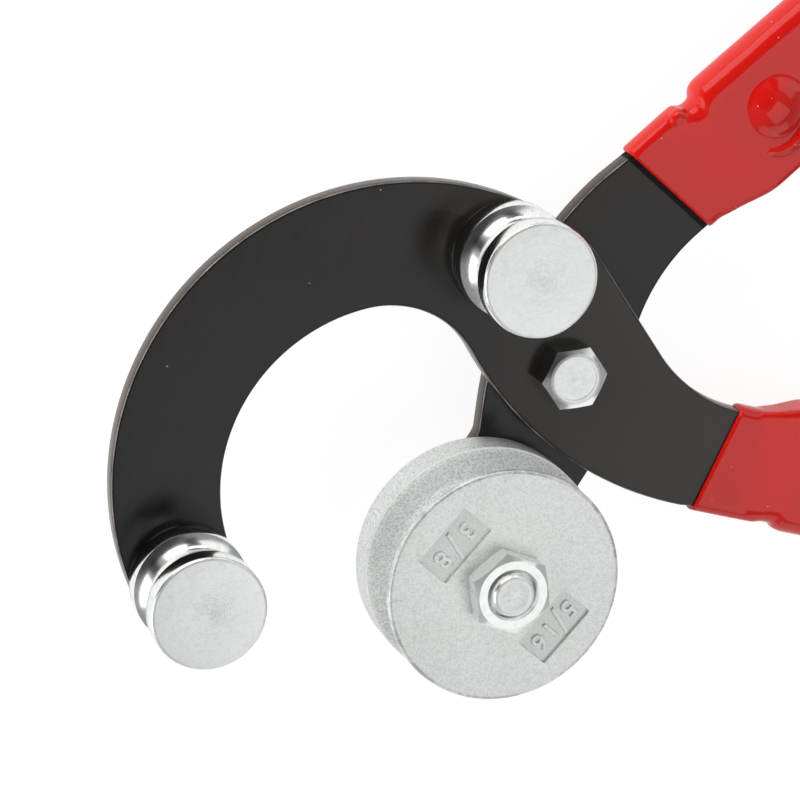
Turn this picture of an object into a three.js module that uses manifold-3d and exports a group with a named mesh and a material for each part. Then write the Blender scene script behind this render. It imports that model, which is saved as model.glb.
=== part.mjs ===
// Tube bending pliers. Two pivoted steel levers: one ends in a hook that carries two
// grooved posts, the other carries a round die with one groove for each tube size.
// A tube lies across both posts, and closing the handles swings the die between them.
//
// Lengths are in millimetres and angles in degrees. The pivot axis is the Z axis, +Z points
// to the front of the tool, and the origin is the end of the pivot bolt, on which the tool
// lies. +X points between the two handles. Each lever is drawn in its own frame: +X along
// its handle from the pivot, +Y to the left of that.

import * as THREE from 'three';
import { mergeVertices } from 'three/addons/utils/BufferGeometryUtils.js';
import Module from 'manifold-3d';

// Clearances and rounding
const turnClearance = 0.06;
const slideClearance = 0.1;
const seatClearance = 0.05;
const overrun = 2;
const arcSag = 0.07;
const fullTurn = 360;
const sidesStep = 4;
const coarsestSagShare = 0.25;
const plateEdgeSteps = 2;
const sectionCornerSteps = 4;
const endRoundSteps = 4;
const gripFlareSteps = 3;
const gripRampSteps = 3;
const domeSteps = 3;

// Lever plates
const plateThickness = 4.5;
const plateEdgeRoll = 0.5;
const handleSplayAngle = 27.5;
const neckInnerReach = 11.3;
const neckOuterReach = 13.25;
const shoulderStep = 1.75;
const shoulderEnd = 55;
const tailEnd = 118;
const tailCornerRadius = 4;

// Hook lever plate: its arm, throat and shank
const hookHandleOffset = 11;
const throatCentreX = -31.8;
const throatCentreY = -30.2;
const throatRadius = 38.6;
const throatTurnRadius = 22.2;
const throatTurnAngle = 115.6;
const hookTipAngle = 217.8;
const hookTipRadius = 11.4;
const hookBackGrowth = 24.3;
const hookBackCentreAngle = 39.9;
const hookShoulderRadius = 14;
const hookShoulderAngle = 61;
const shankBulgeRadius = 83.1;
const shankWaistRadius = 36;
const shankEdgeLength = 25.3;

// Die lever plate: its shank and arm
const dieHandleOffset = 13.5;
const dieCentreX = -41.1;
const dieCentreY = -19;
const dieArmAngle = 197.5;
const dieArmRadius = 13.9;
const dieArmFilletRadius = 8;
const dieArmCornerRadius = 12;
const dieWaistRadius = 41.4;
const dieWaistX = 41.6;
const dieShankReach = 16.8;
const dieShankEdgeAngle = 133.8;
const dieShankRadius = 74;

// Grooved posts
const postRadius = 12.5;
const postHeight = 20.6;
const postEdge = 0.9;
const postGrooveWidth = 11;
const postGrooveDepth = 4;
const postShankRadius = 5;
const postSinkRadius = 6.2;
const rootPostInset = 11.9;
const rootPostAngle = 77.85;

// Bending die
const dieRadius = 26;
const dieBackRadius = 26.6;
const dieHeight = 22.6;
const dieEdge = 0.8;
const tubeHeight = 10.4;
const largeTubeRadius = 4.8;
const largeGrooveWidth = 13.2;
const largeGrooveDepth = 5.2;
const smallTubeRadius = 4;
const smallGrooveWidth = 10.4;
const smallGrooveDepth = 4.4;
const grooveWrapAngle = 60;
const dieTurnAngle = 8.5;
const labelLength = 15;
const labelWidth = 7.2;
const labelDepth = 0.7;
const labelOffset = 15;

// Pivot bolt, washer and lock nut
const pivotRadius = 4;
const pivotHeadAcross = 13;
const pivotNutAcross = 13;
const pivotHeadHeight = 5.3;
const pivotHeadAngle = -7.8;
const pivotStudOut = 1;
const pivotNutHexHeight = 5.8;
const pivotNutCollarHeight = 2.2;
const pivotNutCollarRadius = 6;
const pivotInsertRadius = 5.2;
const pivotWasherRadius = 8;
const pivotWasherThickness = 1.6;

// Die bolt and nut
const dieShoulderRadius = 6;
const dieThreadRadius = 5;
const dieHeadAcross = 16;
const dieHeadHeight = 6.4;
const dieNutAcross = 16;
const dieNutHeight = 5.2;
const dieNutAngle = 26;
const dieStudOut = 1;
const studChamfer = 1;
const hexChamferAngle = 30;
const hexFaceShare = 0.95;

// Handle channels, folded from sheet round the tail of each plate
const sheetThickness = 2;
const handleStart = 60;
const handleEnd = 274;
const handleStartReach = 14.2;
const handleEndReach = 12.2;
const handleEndRound = 9;
const foldRadius = 4.2;
const flangeEdgeRadius = 0.5;

// Rivets
const rivetRadius = 3.2;
const rivetHeadRadius = 5.5;
const rivetHeadHeight = 2.4;
const rivetNearInset = 11.2;
const rivetFarInset = 14;

// Dipped grips
const dipThickness = 1;
const hookMouthInnerX = 43;
const hookMouthOuterX = 38.4;
const dieMouthInnerX = 44.8;
const dieMouthOuterX = 40.5;
const mouthRoll = 0.7;
const hookGripDent = 0.5;
const dieGripDent = 1.5;
const gripDentStart = 55.2;
const gripDentBottom = 58.4;
const gripFlareStart = 52.5;
const gripRampLength = 3.5;
const gripRivetWiden = 1.2;

// Levels along the pivot, from the end of the bolt to the front
const pivotNutZ = pivotStudOut;
const pivotNutHeight = pivotNutHexHeight + pivotNutCollarHeight;
const pivotWasherZ = pivotNutZ + pivotNutHeight;
const diePlateZ = pivotWasherZ + pivotWasherThickness + slideClearance;
const hookPlateZ = diePlateZ + plateThickness + slideClearance;
const hookFrontZ = hookPlateZ + plateThickness;
const channelThickness = plateThickness + 2 * (sheetThickness + seatClearance);

const hookBackRadius = throatRadius + hookBackGrowth;
const rivetNearX = handleStart + rivetNearInset;
const rivetFarX = tailEnd - rivetFarInset;

// Points and angles in a plane
const radians = (degrees) => THREE.MathUtils.degToRad(degrees);
const point = (x, y) => new THREE.Vector2(x, y);
const direction = (degrees) => point(Math.cos(radians(degrees)), Math.sin(radians(degrees)));
const beyond = (start, degrees, distance) => start.clone().addScaledVector(direction(degrees), distance);
const angleTo = (from, to) => THREE.MathUtils.radToDeg(Math.atan2(to.y - from.y, to.x - from.x));

// The point where two lines cross. A line is the angle of its normal and its distance along it.
function crossing(normalA, distanceA, normalB, distanceB) {
  const a = direction(normalA);
  const b = direction(normalB);
  const scale = a.cross(b);
  return point((distanceA * b.y - distanceB * a.y) / scale, (distanceB * a.x - distanceA * b.x) / scale);
}

// Where a line meets a circle: the crossing that lies further along the line's own direction.
function lineCircle(normal, distance, centre, radius) {
  const foot = beyond(centre, normal, distance - centre.dot(direction(normal)));
  const half = Math.sqrt(radius ** 2 - foot.distanceToSquared(centre));
  return beyond(foot, normal + fullTurn / 4, half);
}

// The shares from 0 to 1 in equal steps, both ends included.
const sharesOf = (steps) => Array.from({ length: steps + 1 }, (_, i) => i / steps);

// Points along an arc from one angle to another, anticlockwise if the second is larger.
function arc(centre, radius, from, to) {
  const step = THREE.MathUtils.radToDeg(2 * Math.acos(1 - Math.min(arcSag / radius, coarsestSagShare)));
  const count = Math.max(2, Math.ceil(Math.abs(to - from) / step));
  return sharesOf(count).map((share) => beyond(centre, from + (to - from) * share, radius));
}

// The next angle after another, going anticlockwise or clockwise.
const angleAfter = (angle, other) => other + THREE.MathUtils.euclideanModulo(angle - other, fullTurn);
const angleBefore = (angle, other) => other - THREE.MathUtils.euclideanModulo(other - angle, fullTurn);

// Closed meshes and solids
const wasm = await Module();
wasm.setup();

function solidFrom(geometry) {
  const bare = geometry.clone();
  bare.deleteAttribute('normal');
  bare.deleteAttribute('uv');
  const merged = mergeVertices(bare);
  const corners = merged.index.array;
  const kept = [];
  for (let i = 0; i < corners.length; i += 3) {
    const [a, b, c] = corners.slice(i, i + 3);
    if (a !== b && b !== c && c !== a) kept.push(a, b, c);
  }
  const mesh = new wasm.Mesh({
    numProp: 3,
    vertProperties: new Float32Array(merged.attributes.position.array),
    triVerts: new Uint32Array(kept),
  });
  return new wasm.Manifold(mesh);
}

function geometryFrom(solid) {
  const mesh = solid.getMesh();
  const geometry = new THREE.BufferGeometry();
  geometry.setAttribute('position', new THREE.BufferAttribute(new Float32Array(mesh.vertProperties), 3));
  geometry.setIndex(new THREE.BufferAttribute(new Uint32Array(mesh.triVerts), 1));
  geometry.computeVertexNormals();
  return geometry;
}

const cut = (solid, ...cutters) => cutters.reduce((rest, cutter) => rest.subtract(cutter), solid);
const join = (solid, ...others) => others.reduce((whole, other) => whole.add(other), solid);

// A flat piece of the given outline standing on z = 0, with its edges rounded by `roll`.
function slab(outline, thickness, roll = 0) {
  const geometry = new THREE.ExtrudeGeometry(new THREE.Shape(outline), {
    depth: thickness - 2 * roll,
    bevelEnabled: roll > 0,
    bevelThickness: roll,
    bevelSize: roll,
    bevelOffset: -roll,
    bevelSegments: plateEdgeSteps,
  });
  geometry.translate(0, 0, roll);
  return geometry;
}

// The number of flats that keeps a circle within the sag.
function sidesFor(radius) {
  return sidesStep * Math.ceil(Math.PI / Math.acos(1 - arcSag / radius) / sidesStep);
}

// A turned piece about Z. The profile is [radius, height] pairs from the axis back to it.
function turned(profile, sides = sidesFor(Math.max(...profile.map(([radius]) => radius)))) {
  const geometry = new THREE.LatheGeometry(profile.map(([r, z]) => point(r, z)), sides);
  geometry.rotateX(radians(fullTurn / 4));
  return geometry;
}

const rod = (radius, from, to) => turned([[0, from], [radius, from], [radius, to], [0, to]]);

// The corner radius of a bore whose flats clear a shaft of the given radius.
const bore = (radius, clearance) => (radius + clearance) / Math.cos(Math.PI / sidesFor(radius));

// A solid through a row of like sections, with a flat cap on each end.
function loft(sections) {
  const count = sections[0].length;
  const last = (sections.length - 1) * count;
  const index = [];
  for (let s = 0; s < last; s += count) {
    for (let i = 0; i < count; i += 1) {
      const a = s + i;
      const b = s + ((i + 1) % count);
      index.push(a, b, b + count, a, b + count, a + count);
    }
  }
  for (let i = 1; i + 1 < count; i += 1) {
    index.push(0, i + 1, i, last, last + i, last + i + 1);
  }
  const geometry = new THREE.BufferGeometry();
  geometry.setAttribute('position', new THREE.Float32BufferAttribute(sections.flat(2), 3));
  geometry.setIndex(index);
  return geometry;
}

// A hexagonal prism on z = 0 whose corners are turned off at the front, and at the back too if asked.
function hexagon(across, height, angle, bothEnds) {
  const corner = across / Math.sqrt(3);
  const centre = point(0, 0);
  const outline = sharesOf(6).slice(1).map((share) => beyond(centre, angle + fullTurn * share, corner));
  const faceRadius = (across / 2) * hexFaceShare;
  const outer = corner * Math.sqrt(4 / 3);
  const drop = (outer - faceRadius) * Math.tan(radians(hexChamferAngle));
  const back = bothEnds ? [[faceRadius, 0], [outer, drop]] : [[outer, 0]];
  const limit = turned([[0, 0], ...back, [outer, height - drop], [faceRadius, height], [0, height]]);
  return solidFrom(slab(outline, height)).intersect(solidFrom(limit));
}

// Hook lever

// The hook's circles, each placed by touching the one before it.
function hookCircles() {
  const throat = point(throatCentreX, throatCentreY);
  const turn = beyond(throat, throatTurnAngle, throatRadius - throatTurnRadius);
  const tip = beyond(throat, hookTipAngle, throatRadius + hookTipRadius);
  const back = beyond(tip, hookBackCentreAngle, hookBackRadius - hookTipRadius);
  const outerEdgeY = -(hookHandleOffset + neckOuterReach);
  const bulgeY = outerEdgeY + shankBulgeRadius;
  const touching = shankBulgeRadius + throatTurnRadius;
  const bulge = point(turn.x + Math.sqrt(touching ** 2 - (bulgeY - turn.y) ** 2), bulgeY);
  const shoulder = beyond(back, hookShoulderAngle, hookBackRadius - hookShoulderRadius);
  const waistY = neckInnerReach - hookHandleOffset + shankWaistRadius;
  const acrossEdge = Math.hypot(hookShoulderRadius + shankWaistRadius, shankEdgeLength);
  const waist = point(shoulder.x + Math.sqrt(acrossEdge ** 2 - (waistY - shoulder.y) ** 2), waistY);
  const root = beyond(back, rootPostAngle, hookBackRadius - rootPostInset);
  return { throat, turn, tip, back, bulge, shoulder, waist, root };
}

// The tail that a handle channel is folded round: `side` is +1 where the outer edge faces +Y.
function tailOutline(side, handleOffset) {
  const centreY = side * handleOffset;
  const inner = centreY - side * neckInnerReach;
  const outer = centreY + side * (neckOuterReach - shoulderStep);
  const neckOuter = centreY + side * neckOuterReach;
  const cornerX = tailEnd - tailCornerRadius;
  const turnAngle = side * (fullTurn / 4);
  const innerCorner = arc(point(cornerX, inner + side * tailCornerRadius), tailCornerRadius, -turnAngle, 0);
  const outerCorner = arc(point(cornerX, outer - side * tailCornerRadius), tailCornerRadius, 0, turnAngle);
  return [
    ...innerCorner,
    ...outerCorner,
    point(shoulderEnd + shoulderStep, outer),
    point(shoulderEnd, neckOuter),
  ];
}

function hookOutline() {
  const { throat, turn, tip, back, bulge, shoulder, waist } = hookCircles();
  const edgeLean = Math.atan(shankEdgeLength / (hookShoulderRadius + shankWaistRadius));
  const edgeAngle = angleTo(shoulder, waist) + THREE.MathUtils.radToDeg(edgeLean);
  const tipStart = angleAfter(angleTo(back, tip), hookShoulderAngle);
  const tipStop = angleAfter(angleTo(tip, throat), tipStart);
  const throatStart = angleTo(throat, tip);
  const throatStop = angleBefore(angleTo(throat, turn), throatStart);
  const turnStop = angleBefore(angleTo(turn, bulge), throatStop);
  const bulgeStart = angleTo(bulge, turn);
  const down = -fullTurn / 4;
  return [
    ...arc(waist, shankWaistRadius, down, edgeAngle - fullTurn / 2),
    ...arc(shoulder, hookShoulderRadius, edgeAngle, hookShoulderAngle),
    ...arc(back, hookBackRadius, hookShoulderAngle, tipStart).slice(1),
    ...arc(tip, hookTipRadius, tipStart, tipStop).slice(1),
    ...arc(throat, throatRadius, throatStart, throatStop).slice(1),
    ...arc(turn, throatTurnRadius, throatStop, turnStop).slice(1),
    ...arc(bulge, shankBulgeRadius, bulgeStart, down).slice(1),
    ...tailOutline(-1, hookHandleOffset).reverse(),
  ];
}

// The hole for a post: straight, then opened out at the back, where the shank is swaged into it.
function postHole({ x, y }) {
  const sink = postSinkRadius - postShankRadius;
  const straight = bore(postShankRadius, seatClearance);
  const wide = straight + sink + overrun;
  const top = plateThickness + overrun;
  const hole = turned([[0, -overrun], [wide, -overrun], [straight, sink], [straight, top], [0, top]]);
  return solidFrom(hole.translate(x, y, 0));
}

function plateBores(radius, centre, clearance) {
  const hole = rod(bore(radius, clearance), -overrun, plateThickness + overrun);
  return solidFrom(hole.translate(centre.x, centre.y, 0));
}

function rivetBores(side, handleOffset) {
  const centres = [rivetNearX, rivetFarX].map((x) => point(x, side * handleOffset));
  return centres.map((centre) => plateBores(rivetRadius, centre, seatClearance));
}

function hookPlate() {
  const { tip, root } = hookCircles();
  const plate = solidFrom(slab(hookOutline(), plateThickness, plateEdgeRoll));
  const pivotBore = plateBores(pivotRadius, point(0, 0), seatClearance);
  return cut(plate, postHole(tip), postHole(root), pivotBore, ...rivetBores(-1, hookHandleOffset));
}

// A turned post: shank through the plate, two flanges and the hollow that the tube rides in.
function groovedPost() {
  const sink = postSinkRadius - postShankRadius;
  const top = plateThickness + postHeight;
  const grooveZ = plateThickness + tubeHeight;
  const halfWidth = postGrooveWidth / 2;
  const grooveRadius = (halfWidth ** 2 + postGrooveDepth ** 2) / (2 * postGrooveDepth);
  const grooveCentre = point(postRadius - postGrooveDepth + grooveRadius, grooveZ);
  const grooveAngle = THREE.MathUtils.radToDeg(Math.asin(halfWidth / grooveRadius));
  const half = fullTurn / 2;
  const groove = arc(grooveCentre, grooveRadius, half + grooveAngle, half - grooveAngle);
  return turned([
    [0, 0],
    [postSinkRadius, 0],
    [postShankRadius, sink],
    [postShankRadius, plateThickness],
    [postRadius - postEdge, plateThickness],
    [postRadius, plateThickness + postEdge],
    ...groove.map(({ x, y }) => [x, y]),
    [postRadius, top - postEdge],
    [postRadius - postEdge, top],
    [0, top],
  ]);
}

// Die lever

function diePlateOutline() {
  const centre = point(dieCentreX, dieCentreY);
  const outerEdgeY = dieHandleOffset + neckOuterReach;
  const innerEdgeY = dieHandleOffset - neckInnerReach;
  const up = fullTurn / 4;
  const waist = point(dieWaistX, innerEdgeY - dieWaistRadius);
  const leftAngle = dieArmAngle - up;
  const rightAngle = dieArmAngle + up;
  const leftDistance = centre.dot(direction(leftAngle)) + dieArmRadius;
  const rightDistance = centre.dot(direction(rightAngle)) + dieArmRadius;
  const shank = crossing(up, outerEdgeY - dieShankRadius, dieShankEdgeAngle, dieShankReach - dieShankRadius);
  const fillet = crossing(
    dieShankEdgeAngle, dieShankReach + dieArmFilletRadius, leftAngle, leftDistance + dieArmFilletRadius);
  const corner = lineCircle(
    leftAngle, dieArmCornerRadius - rightDistance, waist, dieWaistRadius + dieArmCornerRadius);
  const half = fullTurn / 2;
  const cornerStop = angleAfter(angleTo(corner, waist), rightAngle);
  return [
    ...tailOutline(1, dieHandleOffset),
    ...arc(shank, dieShankRadius, up, dieShankEdgeAngle),
    ...arc(fillet, dieArmFilletRadius, dieShankEdgeAngle + half, leftAngle + half),
    ...arc(centre, dieArmRadius, leftAngle, rightAngle),
    ...arc(corner, dieArmCornerRadius, rightAngle, cornerStop),
    ...arc(waist, dieWaistRadius, angleAfter(cornerStop - half, up), up).slice(1),
  ];
}

function diePlate() {
  const plate = solidFrom(slab(diePlateOutline(), plateThickness, plateEdgeRoll));
  const pivotBore = plateBores(pivotRadius, point(0, 0), turnClearance);
  const dieBore = plateBores(dieShoulderRadius, point(dieCentreX, dieCentreY), seatClearance);
  return cut(plate, pivotBore, dieBore, ...rivetBores(1, dieHandleOffset));
}

// A ring that cuts one tube groove: a round bottom whose straight sides flare to the width.
function grooveRing(width, depth, tubeRadius) {
  const z = plateThickness + tubeHeight;
  const half = fullTurn / 2;
  const bottom = point(dieRadius - depth + tubeRadius, z);
  const hollow = arc(bottom, tubeRadius, half - grooveWrapAngle, half + grooveWrapAngle);
  const [side] = hollow;
  const slope = (z + width / 2 - side.y) / (dieRadius - side.x);
  const outer = dieRadius + overrun;
  const spread = width / 2 + slope * overrun;
  const inside = hollow.map(({ x, y }) => [x, y]);
  const profile = [[outer, z - spread], [outer, z + spread], ...inside, [outer, z - spread]];
  return solidFrom(turned(profile, sidesFor(dieBackRadius)));
}

// The half of the die on the side that `angle` faces, as a box far larger than the die.
function halfSpace(angle) {
  const size = 4 * dieBackRadius;
  const box = new THREE.BoxGeometry(size, size, size).translate(size / 2, 0, 0);
  return solidFrom(box.rotateZ(radians(angle)));
}

function bendingDie() {
  const shoulderZ = dieHeight - dieEdge;
  const flangeZ = plateThickness + tubeHeight;
  const blank = solidFrom(turned([
    [0, 0],
    [dieBackRadius - dieEdge, 0],
    [dieBackRadius, dieEdge],
    [dieBackRadius, flangeZ],
    [dieRadius, flangeZ],
    [dieRadius, shoulderZ],
    [dieRadius - dieEdge, dieHeight],
    [0, dieHeight],
  ]));
  const towardPosts = dieTurnAngle + fullTurn / 4;
  const largeRing = grooveRing(largeGrooveWidth, largeGrooveDepth, largeTubeRadius);
  const large = largeRing.intersect(halfSpace(towardPosts));
  const small = grooveRing(smallGrooveWidth, smallGrooveDepth, smallTubeRadius);
  const hole = solidFrom(rod(bore(dieShoulderRadius, turnClearance), -overrun, dieHeight + overrun));
  return cut(blank, large, small, hole, ...labelRecesses(towardPosts));
}

// Two shallow rectangular recesses in the face, one beside each groove's half.
function labelRecesses(towardPosts) {
  const thickness = labelDepth + overrun;
  return [0, fullTurn / 2].map((turn) => {
    const recess = new THREE.BoxGeometry(labelLength, labelWidth, thickness);
    recess.rotateZ(radians(dieTurnAngle));
    const centre = beyond(point(0, 0), towardPosts + turn, labelOffset);
    recess.translate(centre.x, centre.y, dieHeight - labelDepth + thickness / 2);
    return solidFrom(recess);
  });
}

// Handles

// The part of a handle's width that is left at a place along it.
function handleReach(x) {
  const share = THREE.MathUtils.clamp((x - handleStart) / (handleEnd - handleStart), 0, 1);
  return THREE.MathUtils.lerp(handleStartReach, handleEndReach, share);
}

// A section across a handle: full round at the fold, nearly square at the open side.
function handleSection(x, side, offset, reach, halfThickness, foldRound, edgeRound) {
  const outer = Math.min(foldRound, halfThickness);
  const inner = Math.min(edgeRound, halfThickness);
  const corners = [
    [reach - outer, halfThickness - outer, outer, 0],
    [-reach + inner, halfThickness - inner, inner, 1],
    [-reach + inner, -halfThickness + inner, inner, 2],
    [reach - outer, -halfThickness + outer, outer, 3],
  ];
  const section = corners.flatMap(([y, z, radius, quarter]) => sharesOf(sectionCornerSteps).map((share) => {
    const corner = beyond(point(y, z), (quarter + share) * (fullTurn / 4), radius);
    return [x, side * (offset + corner.x), corner.y];
  }));
  return side > 0 ? section : section.reverse();
}

// A handle's outside, `grow` larger all round, with a round end.
function handleForm(side, offset, grow) {
  const halfThickness = channelThickness / 2 + grow;
  const roundStart = handleEnd - handleEndRound;
  const endSections = sharesOf(endRoundSteps).map((share) => {
    const angle = radians(share * (fullTurn / 4));
    const x = roundStart + (handleEndRound + grow) * Math.sin(angle);
    const reach = handleReach(roundStart) + grow - handleEndRound * (1 - Math.cos(angle));
    return handleSection(x, side, offset, reach, halfThickness, foldRadius + grow, flangeEdgeRadius + grow);
  });
  const start = handleSection(
    handleStart - grow, side, offset, handleReach(handleStart) + grow, halfThickness,
    foldRadius + grow, flangeEdgeRadius + grow);
  return { start, endSections };
}

// The folded channel: closed along the outer edge, open along the inner one.
function handleChannel(side, offset) {
  const { start, endSections } = handleForm(side, offset, 0);
  const outside = solidFrom(loft([start, ...endSections]));
  const gap = plateThickness / 2 + seatClearance;
  const hollowStart = handleStart - overrun;
  const hollowEnd = handleEnd - handleEndRound - sheetThickness;
  const hollow = solidFrom(loft([hollowStart, hollowEnd].map((x) => {
    const low = -handleReach(x) - overrun;
    const high = handleReach(x) - sheetThickness;
    const square = [[high, gap], [low, gap], [low, -gap], [high, -gap]];
    const section = square.map(([y, z]) => [x, side * (offset + y), z]);
    return side > 0 ? section : section.reverse();
  })));
  const bores = [rivetNearX, rivetFarX].map((x) => {
    const radius = bore(rivetRadius, seatClearance);
    const hole = rod(radius, -channelThickness, channelThickness);
    return solidFrom(hole.translate(x, side * offset, 0));
  });
  return cut(outside, hollow, ...bores);
}

// A round-headed profile above a level, as [radius, height] pairs from the rim to the axis.
function domeProfile(radius, height, level) {
  const sphere = (radius ** 2 + height ** 2) / (2 * height);
  const centre = point(0, level + height - sphere);
  const rim = THREE.MathUtils.radToDeg(Math.asin(radius / sphere));
  return sharesOf(domeSteps).map((share) => {
    const { x, y } = beyond(centre, fullTurn / 4 - rim * (1 - share), sphere);
    return [share === 1 ? 0 : x, y];
  });
}

// A rivet with a domed head on each face of the channel, centred on z = 0.
function rivet(grow = 0) {
  const level = channelThickness / 2;
  const front = domeProfile(rivetHeadRadius + grow, rivetHeadHeight + grow, level);
  const back = [...front].reverse().map(([r, z]) => [r, -z]);
  const shank = rivetRadius + grow;
  return turned([...back, [shank, -level], [shank, level], ...front]);
}

// The outline of a grip's neck, from its slanted mouth to inside the handle part.
function neckOutline(side, offset, mouthInnerX, mouthOuterX, dent) {
  const inner = -neckInnerReach - dipThickness;
  const outer = neckOuterReach + dipThickness;
  const end = handleStart + overrun;
  const rows = [
    [mouthInnerX, inner],
    [end, inner],
    [end, outer - dent],
    [gripDentBottom, outer - dent],
    [gripDentStart, outer],
    [mouthOuterX, outer],
  ];
  return rows.map(([x, y]) => point(x, side * (offset + y)));
}

// The flare from the neck to the handle part: slow on the faces and along the inner edge,
// quick along the outer edge, which keeps a notch.
function gripFlare(side, offset, dent) {
  const grow = dipThickness + seatClearance;
  const notchEnd = handleStart - grow;
  const flareEnd = notchEnd + gripRampLength;
  const slow = sharesOf(gripFlareSteps).slice(0, -1).map((share) => {
    return THREE.MathUtils.lerp(gripFlareStart, notchEnd, share);
  });
  const quick = sharesOf(gripRampSteps).map((share) => {
    return notchEnd + gripRampLength * (1 - Math.cos(radians(share * (fullTurn / 4))));
  });
  return [...slow, ...quick].map((x) => {
    const slowShare = THREE.MathUtils.smoothstep(x, gripFlareStart, flareEnd);
    const quickShare = Math.sqrt(1 - Math.min(1, (flareEnd - x) / gripRampLength) ** 2);
    const reach = handleReach(x) + grow;
    const thin = dipThickness - seatClearance;
    const inner = THREE.MathUtils.lerp(neckInnerReach + thin, reach, slowShare);
    const outer = THREE.MathUtils.lerp(neckOuterReach + thin - dent, reach, quickShare);
    const thinHalf = plateThickness / 2 + dipThickness;
    const half = THREE.MathUtils.lerp(thinHalf, channelThickness / 2 + grow, slowShare);
    const middle = offset + (outer - inner) / 2;
    const halfWidth = (outer + inner) / 2;
    return handleSection(x, side, middle, halfWidth, half, foldRadius + grow, flangeEdgeRadius + grow);
  });
}

// The dipped grip: a skin over the neck of the plate, the channel and the rivet heads.
function grip(side, offset, mouthInnerX, mouthOuterX, dent) {
  const grow = dipThickness + seatClearance;
  const neckThickness = plateThickness + 2 * grow;
  const neckSlab = slab(neckOutline(side, offset, mouthInnerX, mouthOuterX, dent), neckThickness, mouthRoll);
  const neck = solidFrom(neckSlab.translate(0, 0, -neckThickness / 2));
  const { endSections } = handleForm(side, offset, grow);
  const handle = solidFrom(loft([...gripFlare(side, offset, dent), ...endSections]));
  const places = [rivetNearX, rivetFarX];
  const bumps = places.map((x) => solidFrom(rivet(gripRivetWiden).translate(x, side * offset, 0)));
  const skin = join(neck, handle, ...bumps);
  return cut(skin, ...gripHollows(side, offset));
}

// What the grip is dipped over, a seat clearance larger all round.
function gripHollows(side, offset) {
  const inside = handleForm(side, offset, seatClearance);
  const channel = solidFrom(loft([inside.start, ...inside.endSections]));
  const low = -neckInnerReach - seatClearance;
  const high = neckOuterReach + seatClearance;
  const start = shoulderEnd / 2;
  const end = handleStart + overrun;
  const rows = [
    [start, low],
    [end, low],
    [end, high - shoulderStep],
    [shoulderEnd + shoulderStep, high - shoulderStep],
    [shoulderEnd, high],
    [start, high],
  ];
  const thickness = plateThickness + 2 * seatClearance;
  const neckHollow = slab(rows.map(([x, y]) => point(x, side * (offset + y))), thickness);
  neckHollow.translate(0, 0, -thickness / 2);
  const heads = [rivetNearX, rivetFarX].map((x) => {
    return solidFrom(rivet(seatClearance).translate(x, side * offset, 0));
  });
  return [channel, solidFrom(neckHollow), ...heads];
}

// Fasteners

// A bolt shank from `from` to `to` with a chamfered end at the lower or the upper end.
function shank(radius, from, to, chamferAtTop) {
  const low = chamferAtTop ? [[radius, from]] : [[radius - studChamfer, from], [radius, from + studChamfer]];
  const high = chamferAtTop ? [[radius, to - studChamfer], [radius - studChamfer, to]] : [[radius, to]];
  return solidFrom(turned([[0, from], ...low, ...high, [0, to]]));
}

function pivotBolt() {
  const head = hexagon(pivotHeadAcross, pivotHeadHeight, pivotHeadAngle, false);
  const stem = shank(pivotRadius, 0, hookFrontZ + pivotHeadHeight / 2, false);
  return join(head.translate([0, 0, hookFrontZ]), stem);
}

function washer(outerRadius, innerRadius, thickness) {
  return turned([
    [innerRadius, 0],
    [outerRadius, 0],
    [outerRadius, thickness],
    [innerRadius, thickness],
    [innerRadius, 0],
  ]);
}

// A lock nut: hexagon above, and below it a round collar that holds the insert.
function pivotLockNut() {
  const hex = hexagon(pivotNutAcross, pivotNutHexHeight, 0, true).translate([0, 0, pivotNutCollarHeight]);
  const collar = solidFrom(rod(pivotNutCollarRadius, 0, pivotNutCollarHeight + pivotNutHexHeight / 2));
  const threadBore = solidFrom(rod(bore(pivotRadius, seatClearance), -overrun, pivotNutHeight + overrun));
  const pocket = solidFrom(rod(bore(pivotInsertRadius, seatClearance), -overrun, pivotNutCollarHeight));
  return cut(join(hex, collar), threadBore, pocket);
}

function dieBolt() {
  const shoulderTop = plateThickness + slideClearance + dieHeight + slideClearance;
  const end = shoulderTop + dieNutHeight + dieStudOut;
  const head = hexagon(dieHeadAcross, dieHeadHeight, 0, false);
  const flipped = solidFrom(geometryFrom(head).rotateX(Math.PI));
  const shoulder = solidFrom(rod(dieShoulderRadius, -dieHeadHeight / 2, shoulderTop));
  return join(flipped, shoulder, shank(dieThreadRadius, 0, end, true));
}

function dieNut() {
  const hex = hexagon(dieNutAcross, dieNutHeight, dieNutAngle - handleSplayAngle, true);
  return cut(hex, solidFrom(rod(bore(dieThreadRadius, seatClearance), -overrun, dieNutHeight + overrun)));
}

// Materials
function material(color, roughness, metalness) {
  return new THREE.MeshStandardMaterial({ color, roughness, metalness });
}
const blackPaint = () => material(0x2b2a28, 0.3, 0.2);
const brightZinc = () => material(0xc9cdcb, 0.25, 1);
const castZinc = () => material(0xb4b9b6, 0.5, 0.9);
const bareSteel = () => material(0x8b8d8f, 0.4, 1);
const redDip = () => material(0xc22a22, 0.25, 0);
const nylon = () => material(0xdfe4e8, 0.5, 0);

function piece(name, shape, finish, position = [0, 0, 0]) {
  const geometry = shape.isBufferGeometry ? shape : geometryFrom(shape);
  const mesh = new THREE.Mesh(geometry, finish);
  mesh.name = name;
  mesh.position.set(...position);
  return mesh;
}

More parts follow.
